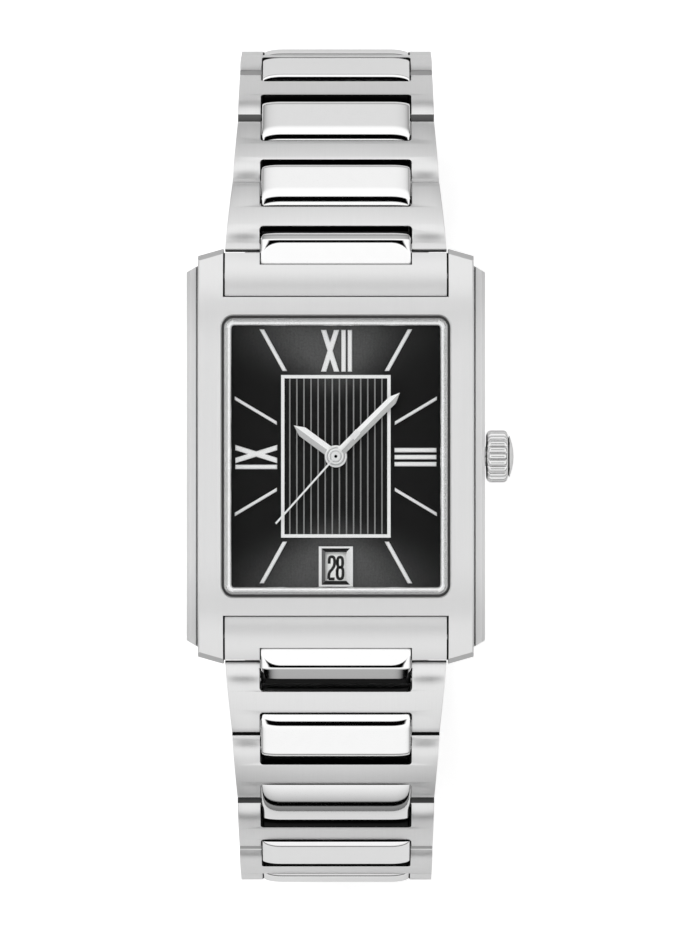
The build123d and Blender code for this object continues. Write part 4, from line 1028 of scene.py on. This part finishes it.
# %% Print the thirty-one days
DATE_REACH = 11.62
TODAY = 28
disc_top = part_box("date_disc")[1].z
days = bmesh.new()
for number in range(1, 32):
    shape = number_shape(number)
    turn = math.radians((number - TODAY) * 360 / 31)
    shape.transform(Matrix.Rotation(turn, 4, "Z") @ Matrix.Translation(mm(0, -DATE_REACH, 0)))
    flat = bpy.data.meshes.new("day")
    shape.to_mesh(flat)
    shape.free()
    days.from_mesh(flat)
    bpy.data.meshes.remove(flat)
bmesh.ops.translate(days, verts=days.verts, vec=(0, 0, disc_top + DATE_LIFT / 2 * MM))
print("date numbers:", len(days.faces), "faces")
make_piece("date_numbers", days, date_ink, "date_disc_body", "date_white")

# %% [markdown]
# The hubs of the hour and minute hands each carry a half-round bead, and the second hand a
# small stud with a pin hole. All are turned parts, so each is one profile spun about the axis.

# %% Beads and stud over the hands' axis
SINK = 0.02
BEAD_HEIGHT = 0.07


def turned_shape(profile, steps=48):
    """Spins a profile of (radius, height) points about the z axis."""
    shape = bmesh.new()
    points = [shape.verts.new(mm(radius, 0, height)) for radius, height in profile]
    edges = [shape.edges.new(pair) for pair in zip(points, points[1:])]
    bmesh.ops.spin(
        shape, geom=points + edges, cent=(0, 0, 0), axis=(0, 0, 1), angle=2 * math.pi, steps=steps,
        use_merge=True)
    bmesh.ops.remove_doubles(shape, verts=shape.verts, dist=1e-7)
    return shape


def hub_ring(name, inner, outer, node, body):
    """A half-round bead on top of a hand's hub."""
    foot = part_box(node)[1].z / MM
    middle, half = (inner + outer) / 2, (outer - inner) / 2
    bead = [
        (middle + half * math.cos(math.radians(turn)),
         foot + BEAD_HEIGHT * math.sin(math.radians(turn)))
        for turn in range(0, 181, 20)]
    ring = turned_shape(
        [(outer, foot - SINK)] + bead + [(inner, foot - SINK), (outer, foot - SINK)])
    return make_piece(name, ring, hand_silver, body, "hand_steel")


hub_ring("hour_hub_ring", 0.90, 1.15, "hour_hand", "hour_hand_body")
hub_ring("minute_hub_ring", 0.58, 0.82, "minute_hand", "minute_hand_body")
SECOND_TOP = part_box("second_hand")[1].z / MM
STUD = [
    (0.17, -SINK), (0.52, -SINK), (0.52, 0.05), (0.46, 0.10), (0.2, 0.10), (0.17, 0.06),
    (0.17, -SINK)]
stud = turned_shape([(radius, SECOND_TOP + height) for radius, height in STUD])
make_piece("second_hand_stud", stud, hand_silver, "second_hand_body", "hand_steel")
print("the stud sits", round(SECOND_TOP, 2), "mm up")

# %% [markdown]
# The crown is turned as well, in many narrow steps. Between two ridges of its grip each ring of
# points dips to the valley radius, so the ridges fade out where the ring itself is small, and
# get their rounded ends. A groove, painted dark as shade, parts the grip from the domed cap.

# %% Crown
CROWN_FACE = 15.66
CROWN_LEVEL = 4.0
RIDGES = 22
VALLEY = 2.48
CAP_SHOULDER = 2.42
CAP_RADIUS = 2.2
CAP_DOME = 0.45
GRIP_START = 2.0
GRIP_TOP = 2.265
BORE = [(1.4, 0), (1.4, 1.5), (0, 1.5)]
GRIP = [
    (0, 2.25), (0.08, 2.45), (0.2, 2.62), (0.36, 2.72), (0.5, 2.75), (1.8, 2.75),
    (1.94, 2.72), (2.1, 2.62), (2.2, 2.45), (2.26, 2.25)]
GROOVE = [(2.27, 2.0), (2.35, 2.0), (2.37, 2.17)]
cap = [
    (CAP_SHOULDER + CAP_DOME * (1 - share ** 2), CAP_RADIUS * share)
    for share in (1, 0.9, 0.75, 0.55, 0.3, 0)]
crown_line = BORE + GRIP + GROOVE + cap
knob = turned_shape([(radius, height) for height, radius in crown_line], steps=RIDGES * 10)
for vert in knob.verts:
    radius, height = math.hypot(vert.co.x, vert.co.y) / MM, vert.co.z / MM
    if radius > GRIP_START and height < GRIP_TOP:
        floor_radius = min(radius, VALLEY)
        crest = abs(math.cos(math.atan2(vert.co.y, vert.co.x) * RIDGES / 2)) ** 0.7
        share = (floor_radius + (radius - floor_radius) * crest) / radius
        vert.co.x *= share
        vert.co.y *= share


def groove_share(face):
    """Painted shade: 1 on the faces between the grip and the cap."""
    middle = face.calc_center_median()
    beside = 2.26 < middle.z / MM < 2.375
    return 1.0 if beside and math.hypot(middle.x, middle.y) > 1.6 * MM else 0.0


# The groove between the grip and the cap gets painted shade.
mark_gap(knob, groove_share)
bmesh.ops.recalc_face_normals(knob, faces=knob.faces)
sideways = Matrix.Rotation(math.radians(90), 4, "Y")
knob.transform(Matrix.Translation(mm(CROWN_FACE, 0, CROWN_LEVEL)) @ sideways)
print("crown faces:", len(knob.faces))
make_piece(
    "crown_knob", knob, crown_steel, "crown_body", "bright_steel", replaced="crown",
    sharp=math.radians(40))

# %% [markdown]
# The studio is a bright soft sky over a pale floor. The sky has a narrow dark strip overhead
# and a dark band low behind six o'clock, as a photographer's black cards give polished metal
# its crisp lines. The camera sees plain white.

# %% Sky
world = bpy.data.worlds.new("studio")
bpy.context.scene.world = world
sky = Finish("studio", owner=world)
sky_x, sky_y, sky_z = sky.parts(sky.node("ShaderNodeTexCoord", out="Generated"))
above = sky.maths("MAXIMUM", sky_z, 0.02)
strip_x = 1 - sky.step(abs(sky_x) / above, 0.30, 0.48)
strip_y = 1 - sky.step(abs(sky_y) / above, 0.14, 0.20)
overhead = strip_x * strip_y * sky.step(sky_z, 0.3, 0.6)
band = sky.step(sky_z, 0.10, 0.13) * (1 - sky.step(sky_z, 0.22, 0.26))
low_band = band * sky.step(0 - sky_y, 0.3, 0.5)
height = sky.step(sky_z, -0.1, 0.75)
behind_six = 1 - sky.step(0 - sky_y, 0.15, 0.6) * 0.08
glow = (height * 0.93 + 0.18) * behind_six * (1 - overhead) * (1 - low_band)
light_path = sky.node("ShaderNodeLightPath", out="Is Camera Ray")
seen = sky.mix(light_path, glow, (1, 1, 1, 1))
background = sky.node("ShaderNodeBackground", inputs={"Color": seen, "Strength": 1.0})
sky.node("ShaderNodeOutputWorld", inputs={"Surface": background})
print("sky nodes:", len(sky.tree.nodes))

# %% [markdown]
# The floor is matt white paper under the bracelet. It glows a little for the camera alone, so
# that it stays white in the picture and still keeps the watch's soft shadow.

# %% Floor
FLOOR_SIZE = 3.0
FLOOR_LIFT = 0.55
floor_shape = bmesh.new()
bmesh.ops.create_grid(floor_shape, x_segments=2, y_segments=2, size=FLOOR_SIZE / 2)
bmesh.ops.translate(floor_shape, verts=floor_shape.verts, vec=(0, 0, cad_box[0][2]))
floor_mesh = bpy.data.meshes.new("floor")
floor_shape.to_mesh(floor_mesh)
floor_shape.free()
floor = bpy.data.objects.new("floor", floor_mesh)
bpy.context.scene.collection.objects.link(floor)


def floor_finish():
    made = Finish("floor_white")
    tone = made.mix(made.grain(60), grey(0.73), grey(0.75))
    paper = made.node("ShaderNodeBsdfDiffuse", inputs={"Color": tone, "Roughness": 0.6})
    path = made.node("ShaderNodeLightPath", out="Is Camera Ray")
    lift = made.node(
        "ShaderNodeEmission", inputs={"Color": (1, 1, 1, 1), "Strength": path * FLOOR_LIFT})
    return made.finish(made.node("ShaderNodeAddShader", inputs={0: paper, 1: lift}))


floor_mesh.materials.append(floor_finish())
print("floor at", round(cad_box[0][2] / MM, 2), "mm")

# %% [markdown]
# One large soft lamp at the upper left models the brushed steel. It is kept out of mirror
# reflections, where its square outline would show.

# %% Lamp
LAMP_SIZE = 0.5
LAMP_ENERGY = 1.9
lamp_data = bpy.data.lights.new("soft_lamp", "AREA")
lamp_data.shape = "RECTANGLE"
lamp_data.size = LAMP_SIZE
lamp_data.size_y = LAMP_SIZE
lamp_data.energy = LAMP_ENERGY
lamp = bpy.data.objects.new("soft_lamp", lamp_data)
bpy.context.scene.collection.objects.link(lamp)
lamp.location = (-0.3, 0.3, 0.65)
lamp.visible_glossy = False
lamp.rotation_euler = (-lamp.location).to_track_quat("-Z", "Y").to_euler()
print("lamp", round(lamp.location.length, 2), "m away")

# %% [markdown]
# The photograph looks straight down on the dial from about half a metre.

# %% Camera
camera_data = bpy.data.cameras.new("camera")
camera_data.lens = 205.0
camera_data.sensor_width = 36.0
camera = bpy.data.objects.new("camera", camera_data)
bpy.context.scene.collection.objects.link(camera)
camera.location = (0.00147, -0.001056, 0.558)
bpy.context.scene.camera = camera
bpy.context.scene.view_settings.view_transform = "Standard"
print("camera", round(camera.location.z, 3), "m above the case")
